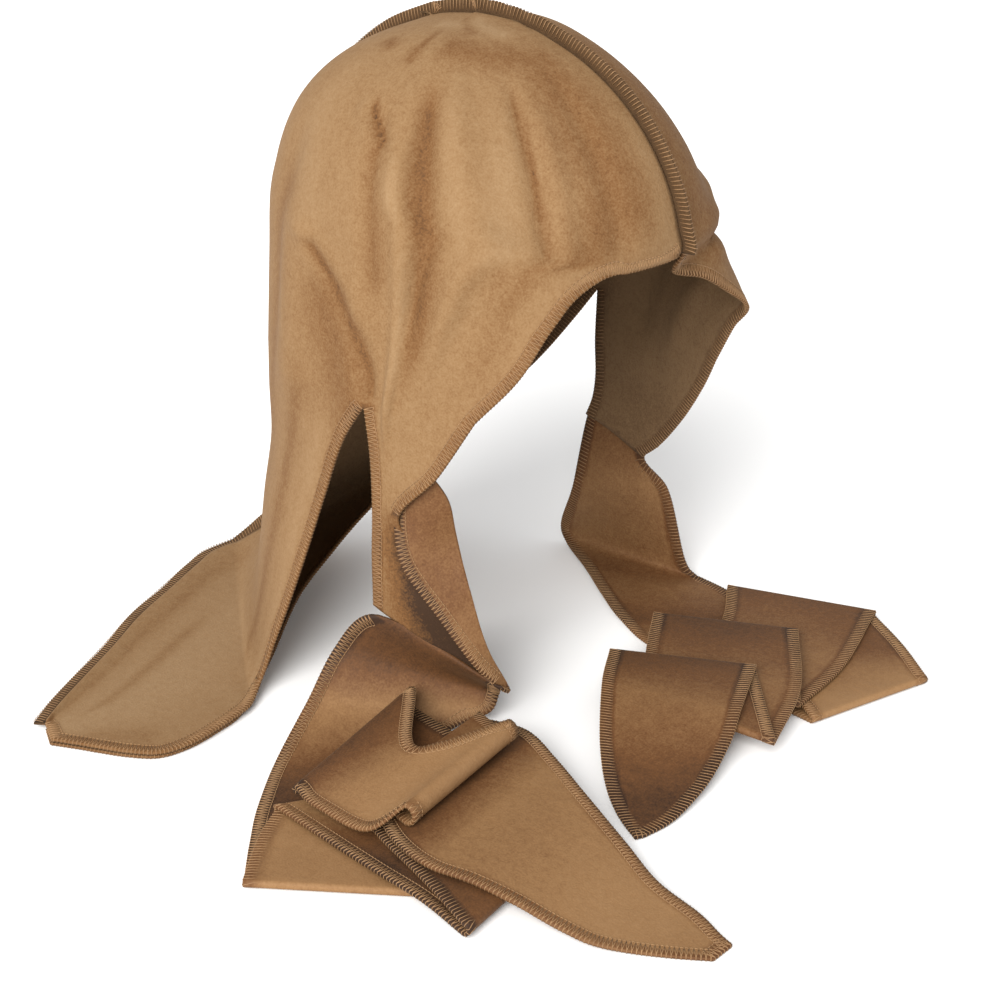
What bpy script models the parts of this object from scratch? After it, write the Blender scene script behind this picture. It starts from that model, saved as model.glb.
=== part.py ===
"""Durag as it sits on a head: two mirrored panels, a centre seam and two long ties.

Metres, +Z up. The origin is the top of the crown, the front is towards -Y and the
wearer's left is towards +X. The tail and the ties lie on a surface below the crown.
"""
from collections import namedtuple
import math

import bpy
import numpy as np

# Driving sizes of the hood
HALF_WIDTH = 0.088
FRONT_REACH = 0.106
BACK_REACH = 0.096
CROWN_FORWARD = 0.010
DOME_DEPTH = 0.090
SLIT_DROP = 0.146
WING_DROP = 0.262
STAND_HEIGHT = 0.290

# Driving sizes of the tail and the ties
TAIL_REACH = 0.200
TAIL_WIDTH = 0.130
TIE_WIDTH = 0.072
LAYER_RISE = 0.0024

# Cloth and seam
CLOTH = 0.0012
SEAM_STAND = 0.0055
SEAM_THICKNESS = 0.0016
GAP = 0.0003

# Mesh steps
FRONT_STEPS = 12
REAR_STEPS = 16
TIE_STEPS = 6
HAIRPIN_STEPS = 4
SEAM_EASE = (1.0, 0.75, 0.5, 0.25)

Dome = namedtuple("Dome", "drop side_drop front_square rear_square")
Course = namedtuple("Course", "out fore drop side_drop turn")
Edge = namedtuple("Edge", "out back drop flat bulge")
Lying = namedtuple("Lying", "edge_out edge_back seam_out seam_back")
Seat = namedtuple("Seat", "course left right")
Hanging = namedtuple("Hanging", "left_out left_fore left_drop right_out right_fore right_drop")
Leg = namedtuple("Leg", "left_out left_fore left_level right_out right_fore right_level rise")
Dent = namedtuple("Dent", "around down width length depth")

# Courses of the dome: drops at the front and at the side and back as shares of
# DOME_DEPTH, and how squarely each quarter turns (0.55 is an even round)
DOME_COURSES = (
    Dome(0.06, 0.060, 0.46, 0.60),
    Dome(0.16, 0.155, 0.42, 0.72),
    Dome(0.30, 0.275, 0.42, 0.70),
    Dome(0.47, 0.410, 0.45, 0.65),
    Dome(0.66, 0.545, 0.49, 0.60),
    Dome(0.83, 0.660, 0.54, 0.57),
)
HEM_SQUARE = 0.62
NAPE_SQUARE = 0.56
CROWN_SPAN = 0.24
FLARE = 0.035

# Front edge from the point over the forehead to the belt at the top of the slit.
# Shares of HALF_WIDTH, FRONT_REACH and SLIT_DROP; turn is how far the cloth faces back.
FRONT_RIGHT = (
    Course(0.00, 1.00, 0.580, 0.452, 0.00),
    Course(0.25, 0.97, 0.590, 0.497, 0.10),
    Course(0.48, 0.93, 0.586, 0.545, 0.25),
    Course(0.636, 0.894, 0.620, 0.597, 0.42),
    Course(0.741, 0.841, 0.702, 0.675, 0.58),
    Course(0.850, 0.762, 0.837, 0.812, 0.75),
    Course(0.943, 0.596, 0.988, 1.000, 0.90),
)
FRONT_LEFT = (
    Course(0.00, 1.00, 0.58, 0.452, 0.00),
    Course(0.03, 0.94, 0.65, 0.490, 0.05),
    Course(0.22, 0.97, 0.69, 0.535, 0.10),
    Course(0.42, 0.99, 0.76, 0.600, 0.25),
    Course(0.62, 0.99, 0.84, 0.690, 0.45),
    Course(0.72, 0.88, 0.94, 0.820, 0.70),
    Course(0.80, 0.76, 1.08, 1.000, 0.90),
)

# Lower wing in front of the slit: out and fore of the front edge, then the slit edge.
# Shares of HALF_WIDTH and FRONT_REACH, and of WING_DROP for both drops.
Wing = namedtuple("Wing", "out fore drop slit_out slit_fore slit_drop")
WING_RIGHT = (
    Wing(1.006, 0.457, 0.647, 1.03, 0.13, 0.65),
    Wing(1.050, 0.283, 0.744, 1.04, 0.14, 0.75),
    Wing(1.000, 0.311, 0.800, 1.05, 0.14, 0.81),
    Wing(0.97, 0.38, 0.90, 1.05, 0.14, 0.87),
    Wing(0.86, 0.53, 0.98, 1.05, 0.14, 0.905),
)
WING_LEFT = (
    Wing(0.85, 0.67, 0.67, 1.02, 0.00, 0.65),
    Wing(0.92, 0.52, 0.76, 1.03, 0.00, 0.73),
    Wing(0.98, 0.37, 0.83, 1.03, -0.02, 0.78),
    Wing(1.01, 0.28, 0.86, 1.03, -0.05, 0.81),
)

# Cape behind the slit: its free edge, with shares of HALF_WIDTH, FRONT_REACH and
# STAND_HEIGHT. A flat of 1 makes a course straight, and bulge is its outward fullness.
CAPE_RIGHT = (
    Edge(1.045, 0.000, 0.565, 0.10, 0.00),
    Edge(1.068, 0.090, 0.655, 0.25, 0.00),
    Edge(1.125, 0.160, 0.750, 0.40, 0.05),
    Edge(1.182, 0.236, 0.845, 0.60, 0.08),
    Edge(1.233, 0.305, 0.925, 0.80, 0.08),
    Edge(1.262, 0.318, 0.951, 0.85, 0.06),
    Edge(1.295, 0.330, 0.975, 0.90, 0.05),
    Edge(1.443, 0.270, 0.990, 1.00, 0.02),
)
CAPE_LEFT = (
    Edge(1.01, 0.11, 0.560, 0.10, 0.00),
    Edge(0.96, 0.30, 0.650, 0.25, 0.05),
    Edge(0.80, 0.53, 0.745, 0.40, 0.24),
    Edge(0.50, 0.74, 0.842, 0.60, 0.33),
    Edge(0.11, 0.83, 0.918, 0.80, 0.40),
    Edge(-0.14, 0.81, 0.947, 0.85, 0.34),
    Edge(-0.40, 0.77, 0.972, 0.90, 0.24),
    Edge(-1.08, 0.47, 0.999, 1.00, 0.18),
)

# Seam behind the head, one row for each course of the cape. Shares of BACK_REACH
# and STAND_HEIGHT; out is towards the side that the tail lies on.
Nape = namedtuple("Nape", "out back drop")
NAPE = (
    Nape(0.00, 1.05, 0.570),
    Nape(0.00, 1.08, 0.657),
    Nape(0.00, 1.13, 0.750),
    Nape(0.00, 1.21, 0.840),
    Nape(0.00, 1.34, 0.920),
    Nape(0.005, 1.41, 0.944),
    Nape(0.03, 1.48, 0.966),
    Nape(0.14, 1.55, 0.989),
)

# Tail on the surface, with shares of TAIL_REACH for out and TAIL_WIDTH for back
TAIL = (
    Lying(0.680, 0.208, 0.140, 1.158),
    Lying(0.735, 0.200, 0.223, 1.123),
    Lying(0.830, 0.200, 0.360, 1.054),
    Lying(0.898, 0.238, 0.505, 0.981),
    Lying(0.935, 0.323, 0.645, 0.885),
    Lying(0.960, 0.415, 0.780, 0.800),
    Lying(0.980, 0.496, 0.900, 0.723),
    Lying(1.002, 0.577, 0.965, 0.675),
)
TAIL_SIDE = -1

# Dents of the panels, in courses around from the front edge to the nape, with rows
# down from the crown as shares of all rows, and depths as shares of HALF_WIDTH
DENTS_RIGHT = (
    Dent(0.17, 0.52, 0.035, 0.22, 0.045),
    Dent(0.27, 0.46, 0.040, 0.28, -0.040),
    Dent(0.36, 0.62, 0.030, 0.26, 0.050),
    Dent(0.44, 0.80, 0.035, 0.22, -0.035),
    Dent(0.60, 0.70, 0.060, 0.25, -0.040),
)
DENTS_LEFT = (
    Dent(0.16, 0.56, 0.040, 0.25, 0.040),
    Dent(0.30, 0.60, 0.045, 0.28, -0.040),
    Dent(0.62, 0.70, 0.060, 0.25, -0.045),
)

# Courses of the wing that the top of each tie lies against, with the columns of the
# tie's two edges as shares from the wing's front edge to its slit edge
SEAT_RIGHT = (Seat(1, 0.70, 0.18),)
SEAT_LEFT = (Seat(-2, 1.00, 0.00), Seat(-1, 1.00, 0.00))
SEAT_ROOM = 1.12 * (CLOTH + GAP)

# Part of each tie that hangs from its wing, with the wing's own shares
HANGING_RIGHT = (
    Hanging(1.028, 0.316, 0.744, 0.916, 0.458, 0.709),
    Hanging(1.068, 0.340, 0.790, 0.875, 0.455, 0.760),
    Hanging(1.010, 0.480, 0.895, 0.890, 0.535, 0.850),
    Hanging(0.945, 0.590, 0.975, 0.865, 0.620, 0.960),
)
HANGING_LEFT = (
    Hanging(0.980, -0.080, 0.940, 1.060, 0.390, 0.915),
)

# Lying part of each tie: one row for each section across it, with places out from the
# side of the hood and forward of the crown as shares of TIE_WIDTH, and heights in
# layers. A rise folds the tie over (or, below zero, under) on that line.
LYING_RIGHT = (
    Leg(-0.17, 0.93, 9.8, -0.26, 0.97, 8.8, 0),
    Leg(0.07, 0.27, 17.2, -0.21, 0.96, 7.0, 0),
    Leg(0.22, 0.01, 11.0, -0.33, 0.85, 5.0, 0),
    Leg(0.45, 0.00, 4.6, -0.26, 0.85, 2.3, 0),
    Leg(0.80, 0.11, 1.0, -0.14, 0.75, 0.7, 0),
    Leg(1.24, 0.36, 0.2, 0.22, 0.74, 0.2, 0),
    Leg(1.57, 0.60, 0.0, 0.74, 1.28, 0.0, 0),
    Leg(1.89, 0.86, 0.0, 1.32, 1.75, 0.0, 1),
    Leg(1.59, 0.67, 1.0, 1.06, 1.53, 1.0, 0),
    Leg(1.31, 0.54, 1.0, 0.33, 1.19, 1.0, 1),
    Leg(1.44, 1.39, 2.0, 0.40, 1.60, 2.0, 0),
    Leg(1.49, 1.78, 1.9, 0.36, 1.80, 1.9, 0),
    Leg(1.53, 2.07, 0.5, 0.33, 1.97, 0.5, 1.9),
    Leg(1.42, 1.78, 3.0, 0.28, 1.70, 3.0, 0),
    Leg(1.25, 1.32, 3.0, 0.21, 1.28, 3.0, 0),
    Leg(1.17, 0.57, 3.1, 0.07, 0.53, 3.6, 4.2),
    Leg(1.25, 0.82, 4.0, 0.58, 0.96, 8.0, 0),
    Leg(1.29, 1.08, 5.0, 0.51, 1.08, 9.0, 0),
    Leg(1.10, 1.32, 8.2, 0.10, 1.26, 9.8, -3.4),
    Leg(1.00, 0.97, 5.0, -0.06, 0.92, 5.2, -1.0),
    Leg(1.24, 1.36, 4.1, -0.11, 1.24, 4.2, 0),
    Leg(1.31, 1.65, 4.1, 0.04, 1.56, 4.1, 0),
    Leg(1.28, 1.90, 4.0, 0.24, 1.92, 4.0, 0),
    Leg(1.24, 2.19, 2.7, 0.42, 2.31, 2.4, 0),
    Leg(1.21, 2.46, 1.0, 0.56, 2.62, 1.0, 0),
    Leg(1.17, 2.68, 0.3, 0.63, 2.92, 0.3, 0),
    Leg(1.01, 3.00, 0.0, 0.71, 3.11, 0.0, 0),
    Leg(0.90, 3.18, 0.0, 0.74, 3.19, 0.0, 0),
)
LYING_LEFT = (
    Leg(0.10, -0.28, 0.6, 0.19, 0.71, 1.7, 0),
    Leg(-0.11, 0.03, 0.1, 0.22, 0.79, 0.1, 0),
    Leg(-0.36, 0.35, 0.0, 0.18, 0.99, 0.0, 0),
    Leg(-0.62, 0.71, 0.0, -0.05, 1.74, 0.0, 0),
    Leg(-0.78, 1.01, 0.0, -0.10, 2.22, 0.0, 0),
    Leg(-1.00, 2.37, 0.0, -0.12, 2.68, 0.0, 1),
    Leg(-0.53, 1.74, 1.0, 0.14, 2.39, 1.0, 0),
    Leg(0.12, 1.07, 1.0, 0.40, 2.04, 1.0, 1),
    Leg(-0.36, 1.32, 2.0, -0.36, 2.24, 2.0, 0),
    Leg(-1.11, 1.50, 2.0, -0.98, 2.28, 2.0, 1),
    Leg(-0.63, 0.97, 3.0, -0.25, 1.83, 3.0, 1),
    Leg(-1.13, 1.25, 4.0, -0.92, 2.24, 4.0, 0),
    Leg(-1.58, 1.55, 4.0, -1.51, 2.42, 3.2, 1),
    Leg(-1.31, 1.10, 5.0, -0.93, 1.93, 5.0, 1),
    Leg(-1.72, 1.33, 6.0, -1.44, 2.14, 6.0, 0),
    Leg(-2.18, 1.65, 3.2, -1.72, 2.24, 4.0, 0),
    Leg(-2.49, 1.94, 1.0, -2.15, 2.32, 1.4, 0),
    Leg(-2.61, 2.11, 0.2, -2.46, 2.32, 0.2, 0),
    Leg(-2.69, 2.25, 0.0, -2.64, 2.28, 0.0, 0),
)

COLOURS = {
    "panel": (0.46, 0.28, 0.14),
    "seam": (0.30, 0.17, 0.08),
    "tie": (0.30, 0.17, 0.09),
}


def clear_scene():
    for scene_object in list(bpy.data.objects):
        bpy.data.objects.remove(scene_object)


def cloth_material(name, colour):
    material = bpy.data.materials.new(name)
    material.use_nodes = True
    shader = material.node_tree.nodes["Principled BSDF"]
    shader.inputs["Base Color"].default_value = (*colour, 1.0)
    shader.inputs["Roughness"].default_value = 0.85
    shader.inputs["Metallic"].default_value = 0.0
    return material


def bezier(points, steps):
    """Points along one cubic curve, both ends included."""
    p0, p1, p2, p3 = (np.array(p, float) for p in points)
    shares = np.linspace(0.0, 1.0, steps + 1)[:, None]
    rest = 1.0 - shares
    return (rest ** 3 * p0 + 3.0 * rest ** 2 * shares * p1
            + 3.0 * rest * shares ** 2 * p2 + shares ** 3 * p3)


def dome_share(drop):
    """Half-width of the dome at a drop below the crown, as a share of its widest."""
    rise = 1.0 - min(drop / DOME_DEPTH, 1.0)
    return math.sqrt(1.0 - rise * rise)


def rear_reach(size):
    """How far behind the crown the seam is, where the dome has this share of its width."""
    return (BACK_REACH + CROWN_FORWARD) * size - CROWN_FORWARD


def seam_height(back):
    """Height of the seam over the dome at a distance behind (or before) the crown."""
    share = -back / FRONT_REACH
    if back > 0.0:
        share = (back + CROWN_FORWARD) / (BACK_REACH + CROWN_FORWARD)
    return -DOME_DEPTH * (1.0 - math.sqrt(1.0 - share * share))


def front_arc(front, side, turn, square=HEM_SQUARE):
    """From the front edge sideways round to the slit line."""
    step = side - front
    sideways = np.array((step[0] * square, 0.0, step[2] / 3.0))
    first = front + (1.0 - turn) * sideways + turn * step * 0.40
    back = square * (1.0 - 0.3 * turn)
    last = side - np.array((0.0, step[1] * back, step[2] / 3.0))
    return bezier((front, first, last, side), FRONT_STEPS)


def rear_arc(hand, side, rear, flat=0.0, bulge=0.0, square=NAPE_SQUARE):
    """From the slit line round the back of the head to the seam."""
    step = rear - side
    round_first = side + np.array((0.0, step[1] * square, step[2] / 3.0))
    round_last = rear - np.array((step[0] * square, 0.0, step[2] / 3.0))
    outward = np.array((hand * bulge * HALF_WIDTH, 0.0, 0.0))
    first = round_first * (1.0 - flat) + (side + step / 3.0) * flat + outward
    last = round_last * (1.0 - flat) + (rear - step / 3.0) * flat + outward
    return bezier((side, first, last, rear), REAR_STEPS)


def crown_course():
    """The first course, along the seam over the crown."""
    backs = np.concatenate((
        np.linspace(-CROWN_SPAN * FRONT_REACH, 0.0, FRONT_STEPS + 1),
        np.linspace(0.0, CROWN_SPAN * BACK_REACH, REAR_STEPS + 1)[1:]))
    return np.array([(0.0, back, seam_height(back)) for back in backs])


def upper_courses(side, front_rows, slit_fore):
    """Courses from the crown down to the belt at the top of the slit."""
    rows = [crown_course()]
    for row in DOME_COURSES:
        drop, side_drop = row.drop * DOME_DEPTH, row.side_drop * DOME_DEPTH
        size, side_size = dome_share(drop), dome_share(side_drop)
        front = np.array((0.0, -FRONT_REACH * size, -drop))
        middle = np.array((side * HALF_WIDTH * side_size, -slit_fore * FRONT_REACH * side_size,
                           -side_drop))
        rear = np.array((0.0, rear_reach(side_size), -side_drop))
        head = front_arc(front, middle, 0.0, row.front_square)
        rows.append(np.concatenate((head, rear_arc(side, middle, rear, square=row.rear_square)[1:])))
    for row in front_rows:
        drop = row.side_drop * SLIT_DROP
        spread = 1.0 + FLARE * max(drop - DOME_DEPTH, 0.0) / (SLIT_DROP - DOME_DEPTH)
        size = dome_share(drop)
        front = np.array((side * row.out * HALF_WIDTH, -row.fore * FRONT_REACH, -row.drop * SLIT_DROP))
        middle = np.array((side * HALF_WIDTH * size * spread, -slit_fore * FRONT_REACH, -drop))
        rear = np.array((0.0, rear_reach(size) * spread, -drop))
        head = front_arc(front, middle, row.turn)
        rows.append(np.concatenate((head, rear_arc(side, middle, rear)[1:])))
    return rows


def wing_courses(side, belt, wing_rows):
    """Courses of the wing below the belt, from its front edge to the slit edge."""
    rows = [belt[:FRONT_STEPS + 1]]
    for row in wing_rows:
        front = np.array((side * row.out * HALF_WIDTH, -row.fore * FRONT_REACH, -row.drop * WING_DROP))
        slit = np.array((side * row.slit_out * HALF_WIDTH, -row.slit_fore * FRONT_REACH,
                         -row.slit_drop * WING_DROP))
        rows.append(front_arc(front, slit, 0.9))
    return rows


def nape_point(row):
    """A point of the seam between the belt and the surface."""
    return np.array((TAIL_SIDE * row.out * BACK_REACH, row.back * BACK_REACH, -row.drop * STAND_HEIGHT))


def tail_height(side):
    """Height of each panel's middle where the tail lies doubled on the surface."""
    level = 0.5 if side != TAIL_SIDE else 1.0 + 0.5
    return -STAND_HEIGHT + GAP + level * CLOTH + (0.0 if side != TAIL_SIDE else 4.0 * GAP)


def seam_lying_height():
    return 0.5 * (tail_height(TAIL_SIDE) + tail_height(-TAIL_SIDE))


def cape_courses(side, belt, cape_rows):
    """Courses behind the slit, down to the surface and out along the tail."""
    rows = [belt[FRONT_STEPS:]]
    floor = tail_height(side)
    for row, nape in zip(cape_rows, NAPE):
        edge = np.array((side * row.out * HALF_WIDTH, row.back * FRONT_REACH, -row.drop * STAND_HEIGHT))
        edge[2] = max(edge[2], floor)
        line = rear_arc(side, edge, nape_point(nape), row.flat, row.bulge)
        if edge[2] == floor:
            line[:-1, 2] = floor
        rows.append(line)
    for row in TAIL:
        setback = 0.0 if side == TAIL_SIDE else CLOTH
        edge = np.array((TAIL_SIDE * row.edge_out * TAIL_REACH, row.edge_back * TAIL_WIDTH, floor))
        edge[1] += setback
        rear = np.array((TAIL_SIDE * row.seam_out * TAIL_REACH, row.seam_back * TAIL_WIDTH,
                         seam_lying_height()))
        line = bezier((edge, edge + (rear - edge) / 3.0, rear + (edge - rear) / 3.0, rear), REAR_STEPS)
        line[:-1, 2] = floor
        rows.append(line)
    return rows


def seam_line(upper, cape):
    """Seam from the front point over the crown and down the back to the tail's tip."""
    front = [row[0] for row in reversed(upper[1:len(DOME_COURSES) + 2])]
    crown = list(upper[0])
    rear = [row[-1] for row in upper[1:]]
    tail = [row[-1] for row in cape[1:]]
    return np.array(front + crown + rear + tail)


def tangents(line):
    steps = np.gradient(line, axis=0)
    return steps / np.linalg.norm(steps, axis=1)[:, None]


def seam_normals(line):
    """Outward directions square to the seam: away from the head, then away from the tail."""
    found = []
    for way in tangents(line):
        aside = abs(way[0])
        guide = np.array((0.0, aside - way[2], way[1] * (1.0 - aside)))
        normal = guide - way * guide.dot(way)
        found.append(normal / np.linalg.norm(normal))
    return np.array(found)


def outline_mesh(name, points, faces, material, collection):
    mesh = bpy.data.meshes.new(name)
    mesh.from_pydata([tuple(p) for p in points], [], faces)
    mesh.materials.append(material)
    mesh.shade_smooth()
    made = bpy.data.objects.new(name, mesh)
    collection.objects.link(made)
    return made


def thicken(made):
    wall = made.modifiers.new("wall", "SOLIDIFY")
    wall.thickness = CLOTH
    wall.offset = 0.0
    wall.use_even_offset = True
    return made


def grid_faces(rows, flip):
    """Quads between rows of vertex numbers of equal length."""
    faces = []
    for upper, lower in zip(rows, rows[1:]):
        for a, b, c, d in zip(upper, upper[1:], lower[1:], lower):
            faces.append((a, d, c, b) if flip else (a, b, c, d))
    return faces


def dent_depths(rows, columns, dents):
    """How far each point of a block of courses is pushed in, in metres."""
    depths = np.zeros((len(rows), len(columns)))
    for dent in dents:
        down = (np.asarray(rows)[:, None] - dent.down) / dent.length
        around = (np.asarray(columns)[None, :] - dent.around) / dent.width
        depths += dent.depth * HALF_WIDTH * np.exp(-down ** 2 - around ** 2)
    return depths


def push_in(block, depths):
    """Moves the inner points of a block of courses along its normals."""
    grid = np.array(block)
    down, around = np.gradient(grid, axis=0), np.gradient(grid, axis=1)
    normals = np.cross(down, around)
    normals /= np.maximum(np.linalg.norm(normals, axis=2)[:, :, None], 1e-9)
    centre = np.array((0.0, 0.0, -DOME_DEPTH))
    facing = np.sign(np.sum(normals * (grid - centre), axis=2))[:, :, None]
    return grid - normals * facing * depths[:, :, None]


def corner_key(point):
    return tuple(np.round(point, 7))


def clear_of_seam(row, shifts):
    """The course with its ends moved off the seam, easing over the next few points."""
    moved = np.array(row)
    if all(corner_key(p) in shifts for p in row[:3]):
        return np.array([p + shifts[corner_key(p)] for p in row])
    for first, step in ((0, 1), (-1, -1)):
        shift = shifts.get(corner_key(row[first]))
        if shift is not None:
            for k, share in enumerate(SEAM_EASE):
                moved[first + k * step] += share * shift
    return moved


def build_panel(name, side, front_rows, wing_rows, cape_rows, slit_fore, dents, material, collection):
    """One panel: half of the dome, the wing in front of its slit, the cape and half of the tail."""
    upper = upper_courses(side, front_rows, slit_fore)
    columns = np.linspace(0.0, 1.0, FRONT_STEPS + REAR_STEPS + 1)
    shares = np.linspace(0.0, 0.72, len(upper))
    depths = dent_depths(shares, columns, dents)
    fade = np.clip(np.arange(len(upper)) / 4.0, 0.0, 1.0)[:, None]
    edge_fade = np.clip(np.minimum(np.arange(len(columns)), np.arange(len(columns))[::-1]) / 2.0, 0.0, 1.0)
    upper = list(push_in(upper, depths * fade * edge_fade[None, :]))
    wing = wing_courses(side, upper[-1], wing_rows)
    cape = cape_courses(side, upper[-1], cape_rows)
    line = seam_line(upper, cape)
    ways, normals = tangents(line), seam_normals(line)
    across = side * np.cross(ways, normals) * math.copysign(1.0, np.cross(ways[0], normals[0])[0])
    room = SEAM_THICKNESS / 2.0 + 2.0 * GAP
    shifts = {corner_key(p): across[i] * room - normals[i] * 3.0 * GAP for i, p in enumerate(line)}
    points, numbers = [], {}
    blocks = []
    for block in (upper, wing, cape):
        lines = []
        for row in block:
            moved = clear_of_seam(row, shifts)
            for place, point in zip(row, moved):
                if corner_key(place) not in numbers:
                    numbers[corner_key(place)] = len(points)
                    points.append(point)
            lines.append([numbers[corner_key(place)] for place in row])
        blocks.append(lines)
    faces = [face for block in blocks for face in grid_faces(block, side < 0)]
    thicken(outline_mesh(name, points, faces, material, collection))
    return line, wing


def build_seam(name, line, material, collection):
    """The sewn allowance, a thin band that stands out along the whole seam."""
    normals = seam_normals(line)
    ways = tangents(line)
    across = np.cross(ways, normals)
    half = SEAM_THICKNESS / 2.0
    points, rings = [], []
    for place, out, aside in zip(line, normals, across):
        corners = (place - aside * half, place + aside * half,
                   place + aside * half + out * SEAM_STAND, place - aside * half + out * SEAM_STAND)
        rings.append(range(len(points), len(points) + 4))
        points.extend(corners)
    faces = [tuple(rings[0]), tuple(reversed(rings[-1]))]
    for first, second in zip(rings, rings[1:]):
        for k in range(4):
            faces.append((first[k], second[k], second[(k + 1) % 4], first[(k + 1) % 4]))
    return outline_mesh(name, points, faces, material, collection)


def section(left, right):
    shares = np.linspace(0.0, 1.0, TIE_STEPS + 1)[:, None]
    return left * (1.0 - shares) + right * shares


def seated_section(wing, seat):
    """A section that lies against the wing's left face."""
    row = np.array(wing[seat.course])
    places = np.linspace(seat.left, seat.right, TIE_STEPS + 1) * FRONT_STEPS
    found = [np.interp(places, np.arange(FRONT_STEPS + 1), row[:, k]) for k in range(3)]
    return np.array(found).T + np.array((SEAT_ROOM, 0.0, 0.0))


def hanging_section(side, row):
    def place(out, fore, drop):
        return np.array((side * out * HALF_WIDTH, -fore * FRONT_REACH, -drop * WING_DROP))
    return section(place(row.left_out, row.left_fore, row.left_drop),
                   place(row.right_out, row.right_fore, row.right_drop))


def lying_section(side, row, lift=0.0):
    floor = -STAND_HEIGHT + GAP + CLOTH / 2.0

    def place(out, fore, level):
        return np.array((side * (HALF_WIDTH + out * TIE_WIDTH), -fore * TIE_WIDTH,
                         floor + (level + lift) * LAYER_RISE))
    return section(place(row.left_out, row.left_fore, row.left_level),
                   place(row.right_out, row.right_fore, row.right_level))


def hairpin(before, line, rise):
    """Sections round a fold: half a circle that bulges past the fold line."""
    radius = abs(rise) / 2.0
    forward = line.mean(axis=0) - before.mean(axis=0)
    fold = line[-1] - line[0]
    forward -= fold * forward.dot(fold) / fold.dot(fold)
    forward[2] = 0.0
    forward /= np.linalg.norm(forward)
    rows = []
    for step in range(HAIRPIN_STEPS + 1):
        angle = math.pi * step / HAIRPIN_STEPS
        shift = forward * radius * math.sin(angle)
        shift[2] = rise / 2.0 * (1.0 - math.cos(angle))
        rows.append(line + shift)
    return rows


def tie_sections(side, wing, seats, hanging, lying):
    rows = [seated_section(wing, seat) for seat in seats]
    rows.extend(hanging_section(side, row) for row in hanging)
    for row in lying:
        line = lying_section(side, row)
        if row.rise:
            rows.extend(hairpin(rows[-1], line, row.rise * LAYER_RISE))
        else:
            rows.append(line)
    return rows


def build_tie(name, side, wing, seats, hanging, lying, material, collection):
    """One tie: a long strap that hangs from the wing and lies folded on the surface."""
    rows = tie_sections(side, wing, seats, hanging, lying)
    points = [p for row in rows for p in row]
    width = TIE_STEPS + 1
    numbers = [range(k * width, (k + 1) * width) for k in range(len(rows))]
    return thicken(outline_mesh(name, points, grid_faces(numbers, side < 0), material, collection))


def main():
    clear_scene()
    collection = bpy.data.collections.new("durag")
    bpy.context.scene.collection.children.link(collection)
    panel_cloth = cloth_material("panel_cloth", COLOURS["panel"])
    seam_cloth = cloth_material("seam_cloth", COLOURS["seam"])
    tie_cloth = cloth_material("tie_cloth", COLOURS["tie"])
    line, wing_right = build_panel("panel_right", -1, FRONT_RIGHT, WING_RIGHT, CAPE_RIGHT, 0.12,
                                   DENTS_RIGHT, panel_cloth, collection)
    _, wing_left = build_panel("panel_left", 1, FRONT_LEFT, WING_LEFT, CAPE_LEFT, 0.0,
                               DENTS_LEFT, panel_cloth, collection)
    build_seam("centre_seam", line, seam_cloth, collection)
    build_tie("tie_right", -1, wing_right, SEAT_RIGHT, HANGING_RIGHT, LYING_RIGHT, tie_cloth, collection)
    build_tie("tie_left", 1, wing_left, SEAT_LEFT, HANGING_LEFT, LYING_LEFT, tie_cloth, collection)


main()
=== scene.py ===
"""Durag in brushed tan cloth: two panels, a raised centre seam and two long folded ties.

Metres, +Z up. The origin is the top of the crown, the front is towards -Y and the
wearer's left is towards +X. The cloth keeps the form that it has when it is worn.
"""

from dataclasses import dataclass, field
from enum import Enum
from functools import cache
import logging
import math
from typing import Any, NamedTuple, Sequence

import bpy
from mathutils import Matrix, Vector
from mathutils.bvhtree import BVHTree
import numpy as np

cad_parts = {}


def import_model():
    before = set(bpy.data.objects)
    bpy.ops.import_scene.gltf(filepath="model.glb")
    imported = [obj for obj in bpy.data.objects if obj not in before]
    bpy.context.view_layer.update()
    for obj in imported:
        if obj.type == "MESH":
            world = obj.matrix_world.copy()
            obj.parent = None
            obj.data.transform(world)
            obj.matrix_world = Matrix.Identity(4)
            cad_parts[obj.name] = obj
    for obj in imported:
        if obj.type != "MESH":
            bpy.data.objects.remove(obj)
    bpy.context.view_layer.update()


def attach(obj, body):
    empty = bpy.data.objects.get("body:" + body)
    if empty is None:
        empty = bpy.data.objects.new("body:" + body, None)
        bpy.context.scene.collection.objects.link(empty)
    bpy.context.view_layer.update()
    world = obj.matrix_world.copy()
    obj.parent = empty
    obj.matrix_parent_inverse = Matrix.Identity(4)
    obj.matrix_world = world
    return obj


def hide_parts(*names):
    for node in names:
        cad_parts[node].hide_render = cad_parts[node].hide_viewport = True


LOG = logging.getLogger("durag")
Array = np.ndarray


class Side(Enum):
    """The wearer's side of a piece, as the sign of its X."""

    RIGHT = -1
    LEFT = 1


# Rows of the tables of the cloth's shape
class Dome(NamedTuple):
    """A course of the dome, with drops as shares of the dome's depth."""

    drop: float
    side_drop: float
    front_square: float
    rear_square: float


class Course(NamedTuple):
    """A course from the front edge; turn is how far the cloth faces back."""

    out: float
    fore: float
    drop: float
    side_drop: float
    turn: float


class Wing(NamedTuple):
    """A course of the wing: its front edge, then its slit edge."""

    out: float
    fore: float
    drop: float
    slit_out: float
    slit_fore: float
    slit_drop: float


class Edge(NamedTuple):
    """Free edge of the cape; flat 1 is a straight course, bulge its outward fullness."""

    out: float
    back: float
    drop: float
    flat: float
    bulge: float


class Nape(NamedTuple):
    """A point of the seam down the back, below the dome."""

    out: float
    back: float
    drop: float


class Lying(NamedTuple):
    """A course of the tail on the surface."""

    edge_out: float
    edge_back: float
    seam_out: float
    seam_back: float


class Seat(NamedTuple):
    """A course of the wing that a tie is sewn against, with the columns of its edges."""

    course: int
    left: float
    right: float


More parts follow.
